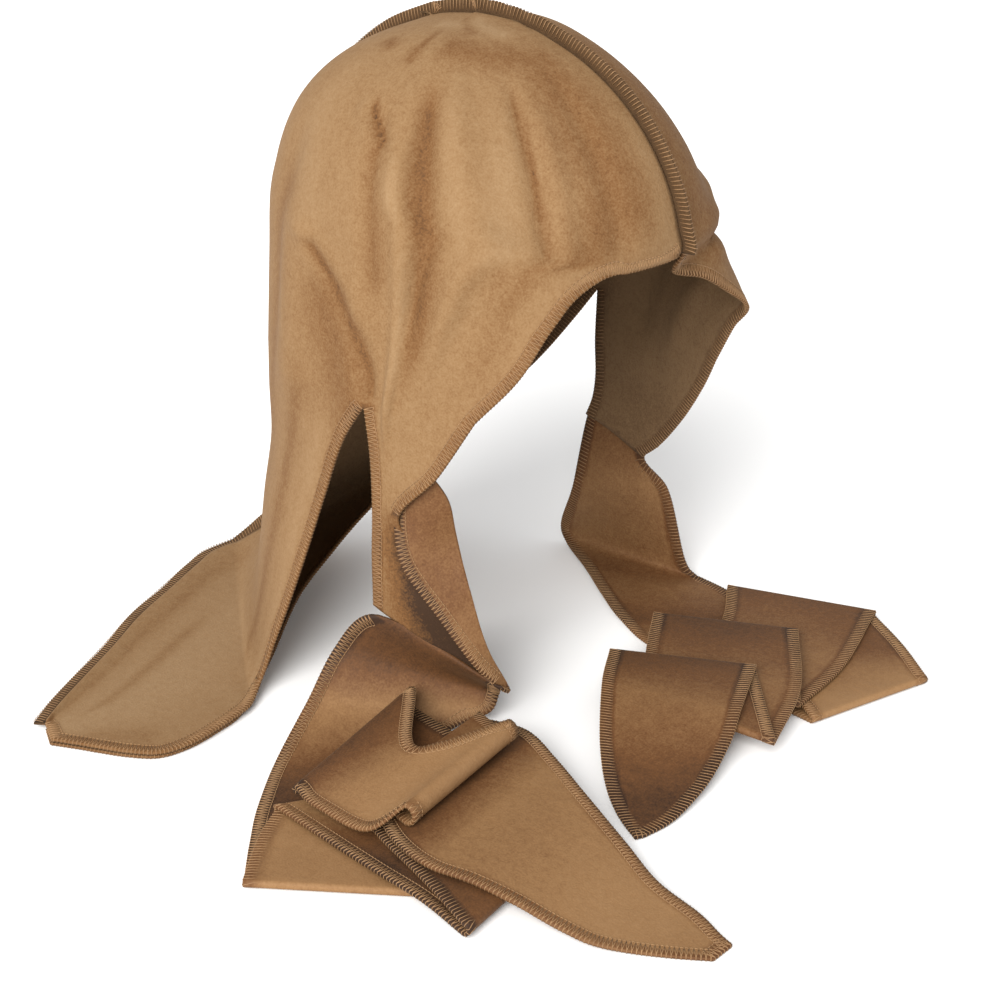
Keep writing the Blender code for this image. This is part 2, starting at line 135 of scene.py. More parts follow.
class Hanging(NamedTuple):
    """A section of a tie that hangs from its wing, and its tone: how light its nap lies, with painted sheen
    and painted shade.
    """

    left_out: float
    left_fore: float
    left_drop: float
    right_out: float
    right_fore: float
    right_drop: float
    tone: float


class Leg(NamedTuple):
    """A section of a tie on the surface; a rise folds it over on that line.

    The left rise is given only where the fold opens unevenly from edge to edge.
    """

    left_out: float
    left_fore: float
    left_level: float
    right_out: float
    right_fore: float
    right_level: float
    rise: float
    tone: float
    left_rise: float | None = None


class BandPoint(NamedTuple):
    """A point of the seam band's section, as shares of its height and half thickness.

    The points of the lip spread out under the cloth beside the seam.
    """

    rise: float
    aside: float
    lip: bool = False


class Mark(NamedTuple):
    """A fold of a panel or a patch of its tone, along a line from one place to another; the patches paint
    the nap's own lie together with the shade and highlights of its folds.

    Width is how far it spreads around, fade how far it spreads down, and depth how
    strongly it acts.
    """

    around: float
    down: float
    end_around: float
    end_down: float
    width: float
    fade: float
    depth: float


@dataclass(frozen=True)
class Sizes:
    """Driving sizes of the durag in metres, with spans, flare and squareness as shares."""

    half_width: float = 0.088
    front_reach: float = 0.106
    back_reach: float = 0.096
    crown_forward: float = 0.010
    dome_depth: float = 0.090
    slit_drop: float = 0.146
    wing_drop: float = 0.262
    stand_height: float = 0.290
    tail_reach: float = 0.200
    tail_width: float = 0.130
    tie_width: float = 0.072
    layer_rise: float = 0.0024
    cloth: float = 0.0012
    seam_stand: float = 0.0055
    seam_thickness: float = 0.0016
    gap: float = 0.0003
    crown_span: float = 0.24
    flare: float = 0.035
    hem_square: float = 0.62
    nape_square: float = 0.56
    tail_side: Side = Side.RIGHT


SIZES = Sizes()

# Spacing of the fine cloth, and how many steps its courses, sections and folds have
GRID_STEP = 0.0026
FRONT_COLUMNS = 48
REAR_COLUMNS = 64
TIE_COLUMNS = 26
FOLD_STEPS = 8

# Handles of a course that starts in line with the front edge, as shares of its steps
TURNED_REACH = 0.40
TURNED_SLACK = 0.3
WING_TURN = 0.9

# Small gaps between the two halves of the lying tail
TAIL_GAPS = 4.0

# Overlocked edge: how far in its needle line lies, how far past it the painted shade among the stitches
# reaches and fades, and how dark that painted shade is
EDGE_WIDTH = 0.0052
EDGE_SHADE_PAST = 0.0012
EDGE_SHADE_FADE = 0.0016
EDGE_SHADE = 0.50

# How many points lie under the edging of a panel and of a tie, counted in from the edge
PANEL_EDGE_POINTS = 14
TIE_EDGE_POINTS = 5

# Beside the seam: how deep the cloth is tucked under the band, how many points ease it
# back, and over how many points and courses the folds begin
SEAM_TUCK = 0.0006
SEAM_EASE = 12
FOLD_POINTS = 8.0
FOLD_COURSES = 4.0

# Painted shadow on the lower wing, where the tie hangs over it: how it begins and ends down the wing, and
# fades across it
WING_PAINTED_SHADOW_DOWN = (-1.9, 2.9)
WING_PAINTED_SHADOW_ACROSS = 1.6

# How far down a panel its belt counts, and the first course of its front edge
BELT_DOWN = 0.72
FRONT_DOWN = BELT_DOWN * 7.0 / 13.0

DOME_COURSES = (
    Dome(0.06, 0.060, 0.46, 0.60),
    Dome(0.16, 0.155, 0.42, 0.72),
    Dome(0.30, 0.275, 0.42, 0.70),
    Dome(0.47, 0.410, 0.45, 0.65),
    Dome(0.66, 0.545, 0.49, 0.60),
    Dome(0.83, 0.660, 0.54, 0.57),
)
FRONT_RIGHT = (
    Course(0.00, 1.00, 0.580, 0.452, 0.00),
    Course(0.25, 0.97, 0.590, 0.497, 0.10),
    Course(0.48, 0.93, 0.586, 0.545, 0.25),
    Course(0.636, 0.894, 0.620, 0.597, 0.42),
    Course(0.741, 0.841, 0.702, 0.675, 0.58),
    Course(0.850, 0.762, 0.837, 0.812, 0.75),
    Course(0.943, 0.596, 0.988, 1.000, 0.90),
)
FRONT_LEFT = (
    Course(0.00, 1.00, 0.58, 0.452, 0.00),
    Course(0.03, 0.94, 0.65, 0.490, 0.05),
    Course(0.22, 0.97, 0.69, 0.535, 0.10),
    Course(0.42, 0.99, 0.76, 0.600, 0.25),
    Course(0.62, 0.99, 0.84, 0.690, 0.45),
    Course(0.72, 0.88, 0.94, 0.820, 0.70),
    Course(0.80, 0.76, 1.08, 1.000, 0.90),
)
WING_RIGHT = (
    Wing(1.006, 0.457, 0.647, 1.03, 0.13, 0.65),
    Wing(1.050, 0.283, 0.744, 1.04, 0.14, 0.75),
    Wing(0.955, 0.385, 0.800, 1.05, 0.14, 0.81),
    Wing(0.97, 0.50, 0.90, 1.05, 0.14, 0.87),
    Wing(0.85, 0.60, 1.005, 1.05, 0.14, 0.905),
)
WING_LEFT = (
    Wing(0.85, 0.67, 0.67, 1.02, 0.00, 0.65),
    Wing(0.92, 0.52, 0.76, 1.03, 0.00, 0.73),
    Wing(0.98, 0.37, 0.83, 1.03, -0.02, 0.78),
    Wing(1.01, 0.28, 0.86, 1.03, -0.05, 0.81),
)
CAPE_RIGHT = (
    Edge(1.045, 0.000, 0.565, 0.10, 0.00),
    Edge(1.068, 0.090, 0.655, 0.25, 0.00),
    Edge(1.125, 0.160, 0.750, 0.40, 0.05),
    Edge(1.182, 0.236, 0.845, 0.60, 0.08),
    Edge(1.233, 0.305, 0.925, 0.80, 0.08),
    Edge(1.262, 0.318, 0.951, 0.85, 0.06),
    Edge(1.295, 0.330, 0.975, 0.90, 0.05),
    Edge(1.443, 0.270, 0.990, 1.00, 0.02),
)
CAPE_LEFT = (
    Edge(1.01, 0.11, 0.560, 0.10, 0.00),
    Edge(0.96, 0.30, 0.650, 0.25, 0.05),
    Edge(0.80, 0.53, 0.745, 0.40, 0.24),
    Edge(0.50, 0.74, 0.842, 0.60, 0.33),
    Edge(0.11, 0.83, 0.918, 0.80, 0.40),
    Edge(-0.14, 0.81, 0.947, 0.85, 0.34),
    Edge(-0.40, 0.77, 0.972, 0.90, 0.24),
    Edge(-1.08, 0.47, 0.999, 1.00, 0.18),
)
NAPE = (
    Nape(0.00, 1.05, 0.570),
    Nape(0.00, 1.08, 0.657),
    Nape(0.00, 1.13, 0.750),
    Nape(0.00, 1.21, 0.840),
    Nape(0.00, 1.34, 0.920),
    Nape(0.005, 1.41, 0.944),
    Nape(0.03, 1.48, 0.966),
    Nape(0.14, 1.55, 0.989),
)
TAIL = (
    Lying(0.680, 0.208, 0.140, 1.158),
    Lying(0.735, 0.200, 0.223, 1.123),
    Lying(0.830, 0.200, 0.360, 1.054),
    Lying(0.898, 0.238, 0.505, 0.981),
    Lying(0.935, 0.323, 0.645, 0.885),
    Lying(0.960, 0.415, 0.780, 0.800),
    Lying(0.980, 0.496, 0.900, 0.723),
    Lying(1.002, 0.577, 0.965, 0.675),
)

# Folds pushed into the panels: places around from the front edge to the nape and down
# from the crown, as shares, with depths as shares of the half width; one above zero goes in
FOLDS_RIGHT = (
    Mark(0.270, 0.400, 0.270, 0.400, 0.045, 0.240, -0.018),
    Mark(0.440, 0.800, 0.440, 0.800, 0.035, 0.220, -0.035),
    Mark(0.600, 0.700, 0.600, 0.700, 0.060, 0.250, -0.040),
    Mark(0.473, 0.190, 0.429, 0.231, 0.007, 0.012, 0.018),
    Mark(0.495, 0.195, 0.450, 0.240, 0.010, 0.014, -0.014),
    Mark(0.402, 0.290, 0.352, 0.700, 0.014, 0.050, -0.036),
    Mark(0.445, 0.240, 0.425, 0.560, 0.012, 0.050, 0.022),
    Mark(0.366, 0.200, 0.345, 0.600, 0.020, 0.050, 0.046),
    Mark(0.318, 0.190, 0.260, 0.600, 0.026, 0.060, -0.032),
    Mark(0.222, 0.175, 0.208, 0.380, 0.010, 0.040, 0.026),
    Mark(0.188, 0.200, 0.180, 0.400, 0.014, 0.040, -0.018),
    Mark(0.130, 0.170, 0.110, 0.340, 0.018, 0.050, 0.018),
    Mark(0.540, 0.540, 0.415, 0.700, 0.014, 0.022, 0.034),
    Mark(0.570, 0.500, 0.450, 0.640, 0.024, 0.030, -0.022),
    Mark(0.640, 0.300, 0.660, 0.650, 0.040, 0.060, 0.022),
)
FOLDS_LEFT = (
    Mark(0.160, 0.560, 0.160, 0.560, 0.040, 0.250, 0.030),
    Mark(0.300, 0.600, 0.300, 0.600, 0.045, 0.280, -0.030),
    Mark(0.620, 0.700, 0.620, 0.700, 0.060, 0.250, -0.045),
    Mark(0.125, 0.430, 0.080, 0.470, 0.040, 0.040, -0.045),
    Mark(0.420, 0.300, 0.390, 0.680, 0.024, 0.060, 0.026),
    Mark(0.520, 0.340, 0.540, 0.700, 0.028, 0.060, -0.024),
    Mark(0.360, 0.260, 0.300, 0.560, 0.022, 0.050, -0.020),
)

# Patches where the cloth is painted darker, below zero, or lighter, with the same places: the nap's own
# patches together with painted shade in fold valleys and grooves and painted highlights on fold ridges
PATCHES_RIGHT = (
    Mark(0.140, 0.130, 0.090, 0.290, 0.066, 0.060, -0.46),
    Mark(0.100, 0.230, 0.160, 0.400, 0.040, 0.050, -0.46),
    Mark(0.190, 0.440, 0.140, 0.580, 0.034, 0.040, -0.36),
    Mark(0.027, 0.240, 0.020, 0.400, 0.020, 0.040, 0.25),
    Mark(0.222, 0.170, 0.212, 0.300, 0.007, 0.030, -0.60),
    Mark(0.212, 0.300, 0.205, 0.400, 0.012, 0.030, -0.35),
    Mark(0.255, 0.240, 0.262, 0.400, 0.024, 0.060, 0.25),
    Mark(0.366, 0.185, 0.366, 0.400, 0.021, 0.040, -0.62),
    Mark(0.366, 0.400, 0.315, 0.640, 0.032, 0.050, -0.55),
    Mark(0.321, 0.190, 0.312, 0.430, 0.014, 0.050, 0.20),
    Mark(0.220, 0.500, 0.120, 0.640, 0.040, 0.040, -0.20),
    Mark(0.402, 0.300, 0.352, 0.660, 0.009, 0.040, 0.45),
    Mark(0.473, 0.185, 0.436, 0.235, 0.006, 0.012, -0.85),
    Mark(0.442, 0.260, 0.416, 0.560, 0.017, 0.050, -0.40),
    Mark(0.540, 0.540, 0.415, 0.700, 0.013, 0.020, -0.60),
    Mark(0.510, 0.640, 0.450, 0.720, 0.050, 0.050, -0.42),
    Mark(0.600, 0.180, 0.560, 0.420, 0.040, 0.060, 0.15),
    Mark(0.620, 0.084, 0.580, 0.090, 0.030, 0.010, -0.50),
    Mark(0.464, 0.060, 0.464, 0.100, 0.020, 0.014, -0.50),
    Mark(0.536, 0.034, 0.400, 0.030, 0.040, 0.008, 0.40),
    Mark(0.339, 0.020, 0.200, 0.046, 0.040, 0.010, 0.40),
    Mark(0.360, 0.074, 0.120, 0.100, 0.040, 0.026, -0.44),
    Mark(0.420, 0.022, 0.300, 0.046, 0.012, 0.006, -0.40),
    Mark(0.640, 0.400, 0.680, 0.800, 0.030, 0.080, -0.30),
    Mark(0.560, 0.780, 0.580, 1.150, 0.024, 0.080, -0.35),
    Mark(0.480, 0.800, 0.470, 1.200, 0.020, 0.060, 0.20),
    Mark(0.700, 1.250, 0.680, 1.700, 0.200, 0.080, 0.44),
    Mark(0.790, 1.400, 0.730, 1.560, 0.024, 0.050, -0.45),
    Mark(0.930, 1.250, 0.900, 1.600, 0.030, 0.080, -0.25),
    Mark(0.500, 1.500, 0.520, 1.600, 0.040, 0.040, -0.30),
)
PATCHES_LEFT = (
    Mark(0.130, 0.160, 0.080, 0.450, 0.160, 0.160, -0.45),
    Mark(0.030, 0.420, 0.020, 0.560, 0.030, 0.060, 0.15),
    Mark(0.300, 0.300, 0.280, 0.620, 0.030, 0.080, 0.25),
    Mark(0.420, 0.260, 0.400, 0.650, 0.026, 0.060, -0.40),
    Mark(0.600, 0.300, 0.620, 0.650, 0.040, 0.060, -0.30),
)

# Ties: where each is sewn to its wing, how it hangs and how it lies folded. The tone of each section mixes
# the nap's own lie with painted satin sheen and painted shade near its folds and under the layers above it
SEAT_RIGHT = (Seat(1, 0.70, 0.18),)
SEAT_LEFT = (Seat(-2, 1.00, 0.00), Seat(-1, 1.00, 0.00))
HANGING_RIGHT = (
    Hanging(1.050, 0.262, 0.762, 0.916, 0.458, 0.709, -0.5),
    Hanging(1.075, 0.300, 0.800, 0.875, 0.455, 0.760, -0.45),
    Hanging(1.020, 0.465, 0.895, 0.890, 0.535, 0.850, -0.5),
    Hanging(0.945, 0.605, 0.978, 0.865, 0.620, 0.960, -0.2),
)
HANGING_LEFT = (
    Hanging(0.980, -0.080, 0.940, 1.060, 0.390, 0.915, -0.15),
)
LYING_RIGHT = (
    Leg(-0.17, 0.93, 9.8, -0.26, 0.97, 8.8, 0, -0.3),
    Leg(0.12, 0.23, 20.6, -0.19, 0.96, 9.0, 0, -0.8),
    Leg(0.22, 0.01, 12.6, -0.33, 0.85, 5.0, 0, -0.75),
    Leg(0.45, 0.00, 5.0, -0.26, 0.85, 2.3, 0, -0.1),
    Leg(0.80, 0.11, 1.0, -0.14, 0.75, 0.7, 0, -0.35),
    Leg(1.24, 0.36, 0.2, 0.22, 0.74, 0.2, 0, -0.9),
    Leg(1.57, 0.60, 0.0, 0.74, 1.28, 0.0, 0, -0.8),
    Leg(1.89, 0.86, 0.0, 1.32, 1.75, 0.0, 1, 0.0),
    Leg(1.59, 0.67, 1.0, 1.06, 1.53, 1.0, 0, 0.05),
    Leg(1.31, 0.54, 1.0, 0.33, 1.19, 1.0, 1, 0.0),
    Leg(1.44, 1.39, 2.0, 0.40, 1.60, 2.0, 0, -0.9),
    Leg(1.49, 1.78, 1.9, 0.36, 1.80, 1.9, 0, -0.7),
    Leg(1.53, 2.07, 0.5, 0.33, 1.97, 0.5, 1.9, -0.6),
    Leg(1.42, 1.78, 3.0, 0.28, 1.70, 3.0, 0, -0.8),
    Leg(1.25, 1.32, 3.0, 0.21, 1.28, 3.0, 0, -0.7),
    Leg(1.09, 0.85, 3.0, 0.14, 0.90, 3.3, 0, -0.5),
    Leg(1.17, 0.57, 3.1, 0.07, 0.53, 3.6, 4.4, -0.8, 0.9),
    Leg(1.25, 0.82, 4.0, 0.58, 0.96, 8.0, 0, -0.1),
    Leg(1.29, 1.16, 4.6, 0.51, 1.08, 9.0, 0, 0.1),
    Leg(1.10, 1.32, 8.2, 0.10, 1.26, 9.8, -3.4, 0.15),
    Leg(1.00, 0.97, 5.0, -0.06, 0.92, 5.2, -1.0, -0.4),
    Leg(1.24, 1.36, 4.1, -0.11, 1.24, 4.2, 0, -0.7),
    Leg(1.31, 1.65, 4.1, 0.04, 1.56, 4.1, 0, 0.0),
    Leg(1.28, 1.90, 4.0, 0.24, 1.92, 4.0, 0, -0.05),
    Leg(1.24, 2.19, 2.7, 0.42, 2.31, 2.4, 0, 0.05),
    Leg(1.21, 2.46, 1.0, 0.56, 2.62, 1.0, 0, 0.1),
    Leg(1.17, 2.68, 0.3, 0.63, 2.92, 0.3, 0, 0.1),
    Leg(1.01, 3.00, 0.0, 0.71, 3.11, 0.0, 0, 0.0),
    Leg(0.90, 3.18, 0.0, 0.74, 3.19, 0.0, 0, -0.1),
)
LYING_LEFT = (
    Leg(0.10, -0.28, 0.6, 0.19, 0.71, 1.7, 0, -0.35),
    Leg(-0.11, 0.03, 0.1, 0.22, 0.79, 0.1, 0, -0.5),
    Leg(-0.36, 0.35, 0.0, 0.18, 0.99, 0.0, 0, -0.35),
    Leg(-0.62, 0.71, 0.0, -0.05, 1.74, 0.0, 0, -0.7),
    Leg(-0.78, 1.01, 0.0, -0.10, 2.22, 0.0, 0, 0.1),
    Leg(-1.00, 2.37, 0.0, -0.12, 2.68, 0.0, 1, 0.2),
    Leg(-0.53, 1.74, 1.0, 0.14, 2.39, 1.0, 0, -0.6),
    Leg(0.12, 1.07, 1.0, 0.40, 2.04, 1.0, 1, -0.7),
    Leg(-0.36, 1.32, 2.0, -0.36, 2.24, 2.0, 0, -0.3),
    Leg(-1.11, 1.50, 2.0, -0.98, 2.28, 2.0, 1, -0.3),
    Leg(-0.63, 0.97, 3.0, -0.25, 1.83, 3.0, 1, -0.8),
    Leg(-1.13, 1.25, 4.0, -0.92, 2.24, 4.0, 0, -0.3),
    Leg(-1.58, 1.55, 4.0, -1.51, 2.42, 3.2, 1, -0.4),
    Leg(-1.31, 1.10, 5.0, -0.93, 1.93, 5.0, 1, -0.8),
    Leg(-1.72, 1.33, 6.0, -1.44, 2.14, 6.0, 0, -0.25),
    Leg(-2.18, 1.65, 3.2, -1.72, 2.24, 4.0, 0, -0.45),
    Leg(-2.49, 1.94, 1.0, -2.15, 2.32, 1.4, 0, -0.9),
    Leg(-2.61, 2.11, 0.2, -2.46, 2.32, 0.2, 0, -0.9),
    Leg(-2.69, 2.25, 0.0, -2.64, 2.28, 0.0, 0, -0.7),
)


# Section of the seam band, round from one lip to the other
BAND_SECTION = (
    BandPoint(-0.32, -1.0, lip=True),
    BandPoint(-0.24, -1.0, lip=True),
    BandPoint(-0.24, -0.9),
    BandPoint(0.0, -1.0),
    BandPoint(0.3, -0.92),
    BandPoint(0.7, -0.86),
    BandPoint(0.95, -0.7),
    BandPoint(1.0, 0.0),
    BandPoint(0.95, 0.7),
    BandPoint(0.7, 0.86),
    BandPoint(0.3, 0.92),
    BandPoint(0.0, 1.0),
    BandPoint(-0.24, 0.9),
    BandPoint(-0.24, 1.0, lip=True),
    BandPoint(-0.32, 1.0, lip=True),
)


# Curves and courses
def bezier(points: Sequence[Array], steps: int) -> Array:
    """Points along one cubic curve.

    Args:
        points: The two ends with the two handles between them.
        steps: How many steps the curve is cut into.

    Returns:
        One row for each point, both ends included.
    """
    p0, p1, p2, p3 = (np.array(p, float) for p in points)
    shares = np.linspace(0.0, 1.0, steps + 1)[:, None]
    rest = 1.0 - shares
    return (rest ** 3 * p0 + 3.0 * rest ** 2 * shares * p1
            + 3.0 * rest * shares ** 2 * p2 + shares ** 3 * p3)


def smooth_rows(rows: Sequence[Array], step: float = GRID_STEP) -> tuple[Array, Array]:
    """Fine rows on smooth curves through a few given rows.

    Args:
        rows: The given rows, all of one length.
        step: The wanted distance between the fine rows.

    Returns:
        The fine rows, and for each the number of the given row as a fraction.
    """
    given = np.array(rows, float)
    lengths = np.maximum(np.linalg.norm(np.diff(given, axis=0), axis=2).mean(axis=1), 1e-5)
    slopes = np.diff(given, axis=0) / lengths[:, None, None]
    inner = ((slopes[:-1] * lengths[1:, None, None] + slopes[1:] * lengths[:-1, None, None])
             / (lengths[:-1] + lengths[1:])[:, None, None])
    ways = np.concatenate((slopes[:1], inner, slopes[-1:]))
    fine, places = [given[:1]], [0.0]
    for k, length in enumerate(lengths):
        count = max(2, int(math.ceil(length / step)))
        t = np.linspace(0.0, 1.0, count + 1)[1:, None, None]
        fine.append((2 * t ** 3 - 3 * t ** 2 + 1) * given[k] + (t ** 3 - 2 * t ** 2 + t) * length * ways[k]
                    + (3 * t ** 2 - 2 * t ** 3) * given[k + 1] + (t ** 3 - t ** 2) * length * ways[k + 1])
        places.extend(k + t[:, 0, 0])
    return np.concatenate(fine), np.array(places)


def unit(vectors: Array) -> Array:
    """The same directions, each of length 1."""
    return vectors / np.maximum(np.linalg.norm(vectors, axis=-1, keepdims=True), 1e-9)


def tangents(line: Array) -> Array:
    """Unit directions along a line of points."""
    return unit(np.gradient(line, axis=0))


def between(wanted: Array | float, places: Array, values: Array) -> Array:
    """Points or directions at the wanted places, between the given ones."""
    return np.stack([np.interp(wanted, places, values[:, k]) for k in range(3)], -1)


def measured(line: Array) -> Array:
    """How far along a line each of its points is."""
    return np.concatenate(((0.0,), np.cumsum(np.linalg.norm(np.diff(line, axis=0), axis=1))))


@dataclass
class HoodPattern:
    """The courses that both panels and the seam are laid on."""

    sizes: Sizes = SIZES

    def dome_share(self, drop: float) -> float:
        """Half-width of the dome at a drop below the crown, as a share of its widest."""
        rise = 1.0 - min(drop / self.sizes.dome_depth, 1.0)
        return math.sqrt(1.0 - rise * rise)

    def rear_reach(self, size: float) -> float:
        """How far behind the crown the seam is, where the dome has this share of its width."""
        s = self.sizes
        return (s.back_reach + s.crown_forward) * size - s.crown_forward

    def seam_height(self, back: float) -> float:
        """Height of the seam over the dome.

        Args:
            back: Distance behind the crown, below zero in front of it.

        Returns:
            The height, 0 at the crown and below zero around it.
        """
        s = self.sizes
        share = -back / s.front_reach
        if back > 0.0:
            share = (back + s.crown_forward) / (s.back_reach + s.crown_forward)
        return -s.dome_depth * (1.0 - math.sqrt(1.0 - share * share))

    def front_arc(self, front: Array, slit: Array, turn: float, square: float) -> Array:
        """Part of a course from the front edge sideways round to the slit line.

        Args:
            front: The point on the front edge.
            slit: The point on the slit line.
            turn: 0 where it leaves the front edge sideways, 1 where it goes straight back.
            square: How squarely it turns between the two.

        Returns:
            Its points, both ends included.
        """
        step = slit - front
        sideways = np.array((step[0] * square, 0.0, step[2] / 3.0))
        first = front + (1.0 - turn) * sideways + turn * step * TURNED_REACH
        back = square * (1.0 - TURNED_SLACK * turn)
        last = slit - np.array((0.0, step[1] * back, step[2] / 3.0))
        return bezier((front, first, last, slit), FRONT_COLUMNS)

    def rear_arc(self, hand: int, slit: Array, rear: Array, flat: float, bulge: float,
                 square: float) -> Array:
        """Part of a course from the slit line round the back to the seam.

        Args:
            hand: The sign of X on the course's side.
            slit: The point on the slit line.
            rear: The point on the seam.
            flat: 0 where it is round, 1 where it is straight.
            bulge: Its outward fullness, as a share of the half width.
            square: How squarely it turns where it is round.

        Returns:
            Its points, both ends included.
        """
        step = rear - slit
        round_first = slit + np.array((0.0, step[1] * square, step[2] / 3.0))
        round_last = rear - np.array((step[0] * square, 0.0, step[2] / 3.0))
        outward = np.array((hand * bulge * self.sizes.half_width, 0.0, 0.0))
        first = round_first * (1.0 - flat) + (slit + step / 3.0) * flat + outward
        last = round_last * (1.0 - flat) + (rear - step / 3.0) * flat + outward
        return bezier((slit, first, last, rear), REAR_COLUMNS)

    def crown_course(self) -> Array:
        """The first course, along the seam over the crown.

        Returns:
            Its points from front to back.
        """
        s = self.sizes
        backs = np.concatenate((
            np.linspace(-s.crown_span * s.front_reach, 0.0, FRONT_COLUMNS + 1),
            np.linspace(0.0, s.crown_span * s.back_reach, REAR_COLUMNS + 1)[1:]))
        return np.array([(0.0, back, self.seam_height(back)) for back in backs])

    def upper_courses(self, side: Side, front_rows: Sequence[Course], slit_fore: float) -> list[Array]:
        """Courses from the crown down to the belt at the top of the slit.

        Args:
            side: The panel's side.
            front_rows: The courses below the dome's, which end at the front edge.
            slit_fore: How far forward the slit is, as a share of the front reach.

        Returns:
            The courses from top to bottom.
        """
        s, hand = self.sizes, side.value
        rows = [self.crown_course()]
        for row in DOME_COURSES:
            drop, side_drop = row.drop * s.dome_depth, row.side_drop * s.dome_depth
            size, side_size = self.dome_share(drop), self.dome_share(side_drop)
            front = np.array((0.0, -s.front_reach * size, -drop))
            middle = np.array((hand * s.half_width * side_size,
                               -slit_fore * s.front_reach * side_size, -side_drop))
            rear = np.array((0.0, self.rear_reach(side_size), -side_drop))
            fore_part = self.front_arc(front, middle, 0.0, row.front_square)
            rear_part = self.rear_arc(hand, middle, rear, 0.0, 0.0, row.rear_square)
            rows.append(np.concatenate((fore_part, rear_part[1:])))
        for row in front_rows:
            drop = row.side_drop * s.slit_drop
            low = max(drop - s.dome_depth, 0.0) / (s.slit_drop - s.dome_depth)
            spread = 1.0 + s.flare * low
            size = self.dome_share(drop)
            front = np.array((hand * row.out * s.half_width, -row.fore * s.front_reach,
                              -row.drop * s.slit_drop))
            middle = np.array((hand * s.half_width * size * spread, -slit_fore * s.front_reach, -drop))
            rear = np.array((0.0, self.rear_reach(size) * spread, -drop))
            fore_part = self.front_arc(front, middle, row.turn, s.hem_square)
            rear_part = self.rear_arc(hand, middle, rear, 0.0, 0.0, s.nape_square)
            rows.append(np.concatenate((fore_part, rear_part[1:])))
        return rows

    def wing_courses(self, side: Side, belt: Array, wing_rows: Sequence[Wing]) -> list[Array]:
        """Courses of the wing below the belt, from its front edge to the slit edge.

        Args:
            side: The panel's side.
            belt: The last course above the slit.
            wing_rows: The courses below it.

        Returns:
            The belt's fore part and the courses below it.
        """
        s, hand = self.sizes, side.value
        rows = [belt[:FRONT_COLUMNS + 1]]
        for row in wing_rows:
            front = np.array((hand * row.out * s.half_width, -row.fore * s.front_reach,
                              -row.drop * s.wing_drop))
            slit = np.array((hand * row.slit_out * s.half_width, -row.slit_fore * s.front_reach,
                             -row.slit_drop * s.wing_drop))
            rows.append(self.front_arc(front, slit, WING_TURN, s.hem_square))
        return rows

    def tail_height(self, side: Side) -> float:
        """Height of a panel's middle where the tail lies doubled on the surface.

        Args:
            side: The panel's side; the one that the tail lies on is the upper half.

        Returns:
            The height.
        """
        s = self.sizes
        lower = -s.stand_height + s.gap + 0.5 * s.cloth
        return lower + s.cloth + TAIL_GAPS * s.gap if side is s.tail_side else lower

    def cape_courses(self, side: Side, belt: Array, cape_rows: Sequence[Edge]) -> list[Array]:
        """Courses behind the slit, down to the surface and out along the tail.

        Args:
            side: The panel's side.
            belt: The last course above the slit.
            cape_rows: The cape's free edge, course by course.

        Returns:
            The belt's rear part and the courses below it.
        """
        s, hand = self.sizes, side.value
        rows = [belt[FRONT_COLUMNS:]]
        tail_hand = s.tail_side.value
        floor = self.tail_height(side)
        seam_level = 0.5 * (self.tail_height(Side.LEFT) + self.tail_height(Side.RIGHT))
        for row, nape in zip(cape_rows, NAPE):
            edge = np.array((hand * row.out * s.half_width, row.back * s.front_reach,
                             max(-row.drop * s.stand_height, floor)))
            rear = np.array((tail_hand * nape.out * s.back_reach, nape.back * s.back_reach,
                             -nape.drop * s.stand_height))
            line = self.rear_arc(hand, edge, rear, row.flat, row.bulge, s.nape_square)
            if edge[2] == floor:
                line[:-1, 2] = floor
            rows.append(line)
        for row in TAIL:
            setback = 0.0 if side is s.tail_side else s.cloth
            edge = np.array((tail_hand * row.edge_out * s.tail_reach,
                             row.edge_back * s.tail_width + setback, floor))
            rear = np.array((tail_hand * row.seam_out * s.tail_reach,
                             row.seam_back * s.tail_width, seam_level))
            line = bezier((edge, edge + (rear - edge) / 3.0, rear + (edge - rear) / 3.0, rear),
                          REAR_COLUMNS)
            line[:-1, 2] = floor
            rows.append(line)
        return rows


def seam_normals(line: Array) -> Array:
    """Directions in which the seam stands out, from the crown and then from the tail.

    Args:
        line: The seam's points.

    Returns:
        One unit direction for each point, square to the seam.
    """
    found = []
    for way in tangents(line):
        aside = abs(way[0])
        guide = np.array((0.0, aside - way[2], way[1] * (1.0 - aside)))
        normal = guide - way * guide.dot(way)
        found.append(normal / np.linalg.norm(normal))
    return np.array(found)


# Shader maths
class Sock:
    """An output socket that takes part in Python expressions."""

    def __init__(self, bench: "Bench", socket: bpy.types.NodeSocket) -> None:
        """Wraps one socket of a bench."""
        self.bench = bench
        self.socket = socket

    def _math(self, operation: str, *values: Any) -> "Sock":
        """A Math node on these values."""
        return self.bench.node("ShaderNodeMath", {"operation": operation}, dict(enumerate(values)))

    def __add__(self, other: Any) -> "Sock":
        """Sum."""
        return self._math("ADD", self, other)

    def __sub__(self, other: Any) -> "Sock":
        """Difference."""
        return self._math("SUBTRACT", self, other)

    def __rsub__(self, other: Any) -> "Sock":
        """Difference from a number."""
        return self._math("SUBTRACT", other, self)

    def __mul__(self, other: Any) -> "Sock":
        """Product."""
        return self._math("MULTIPLY", self, other)

    __radd__ = __add__
    __rmul__ = __mul__

    def clamp(self) -> "Sock":
        """The value kept from 0 to 1."""
        return self._math("MINIMUM", self._math("MAXIMUM", self, 0.0), 1.0)


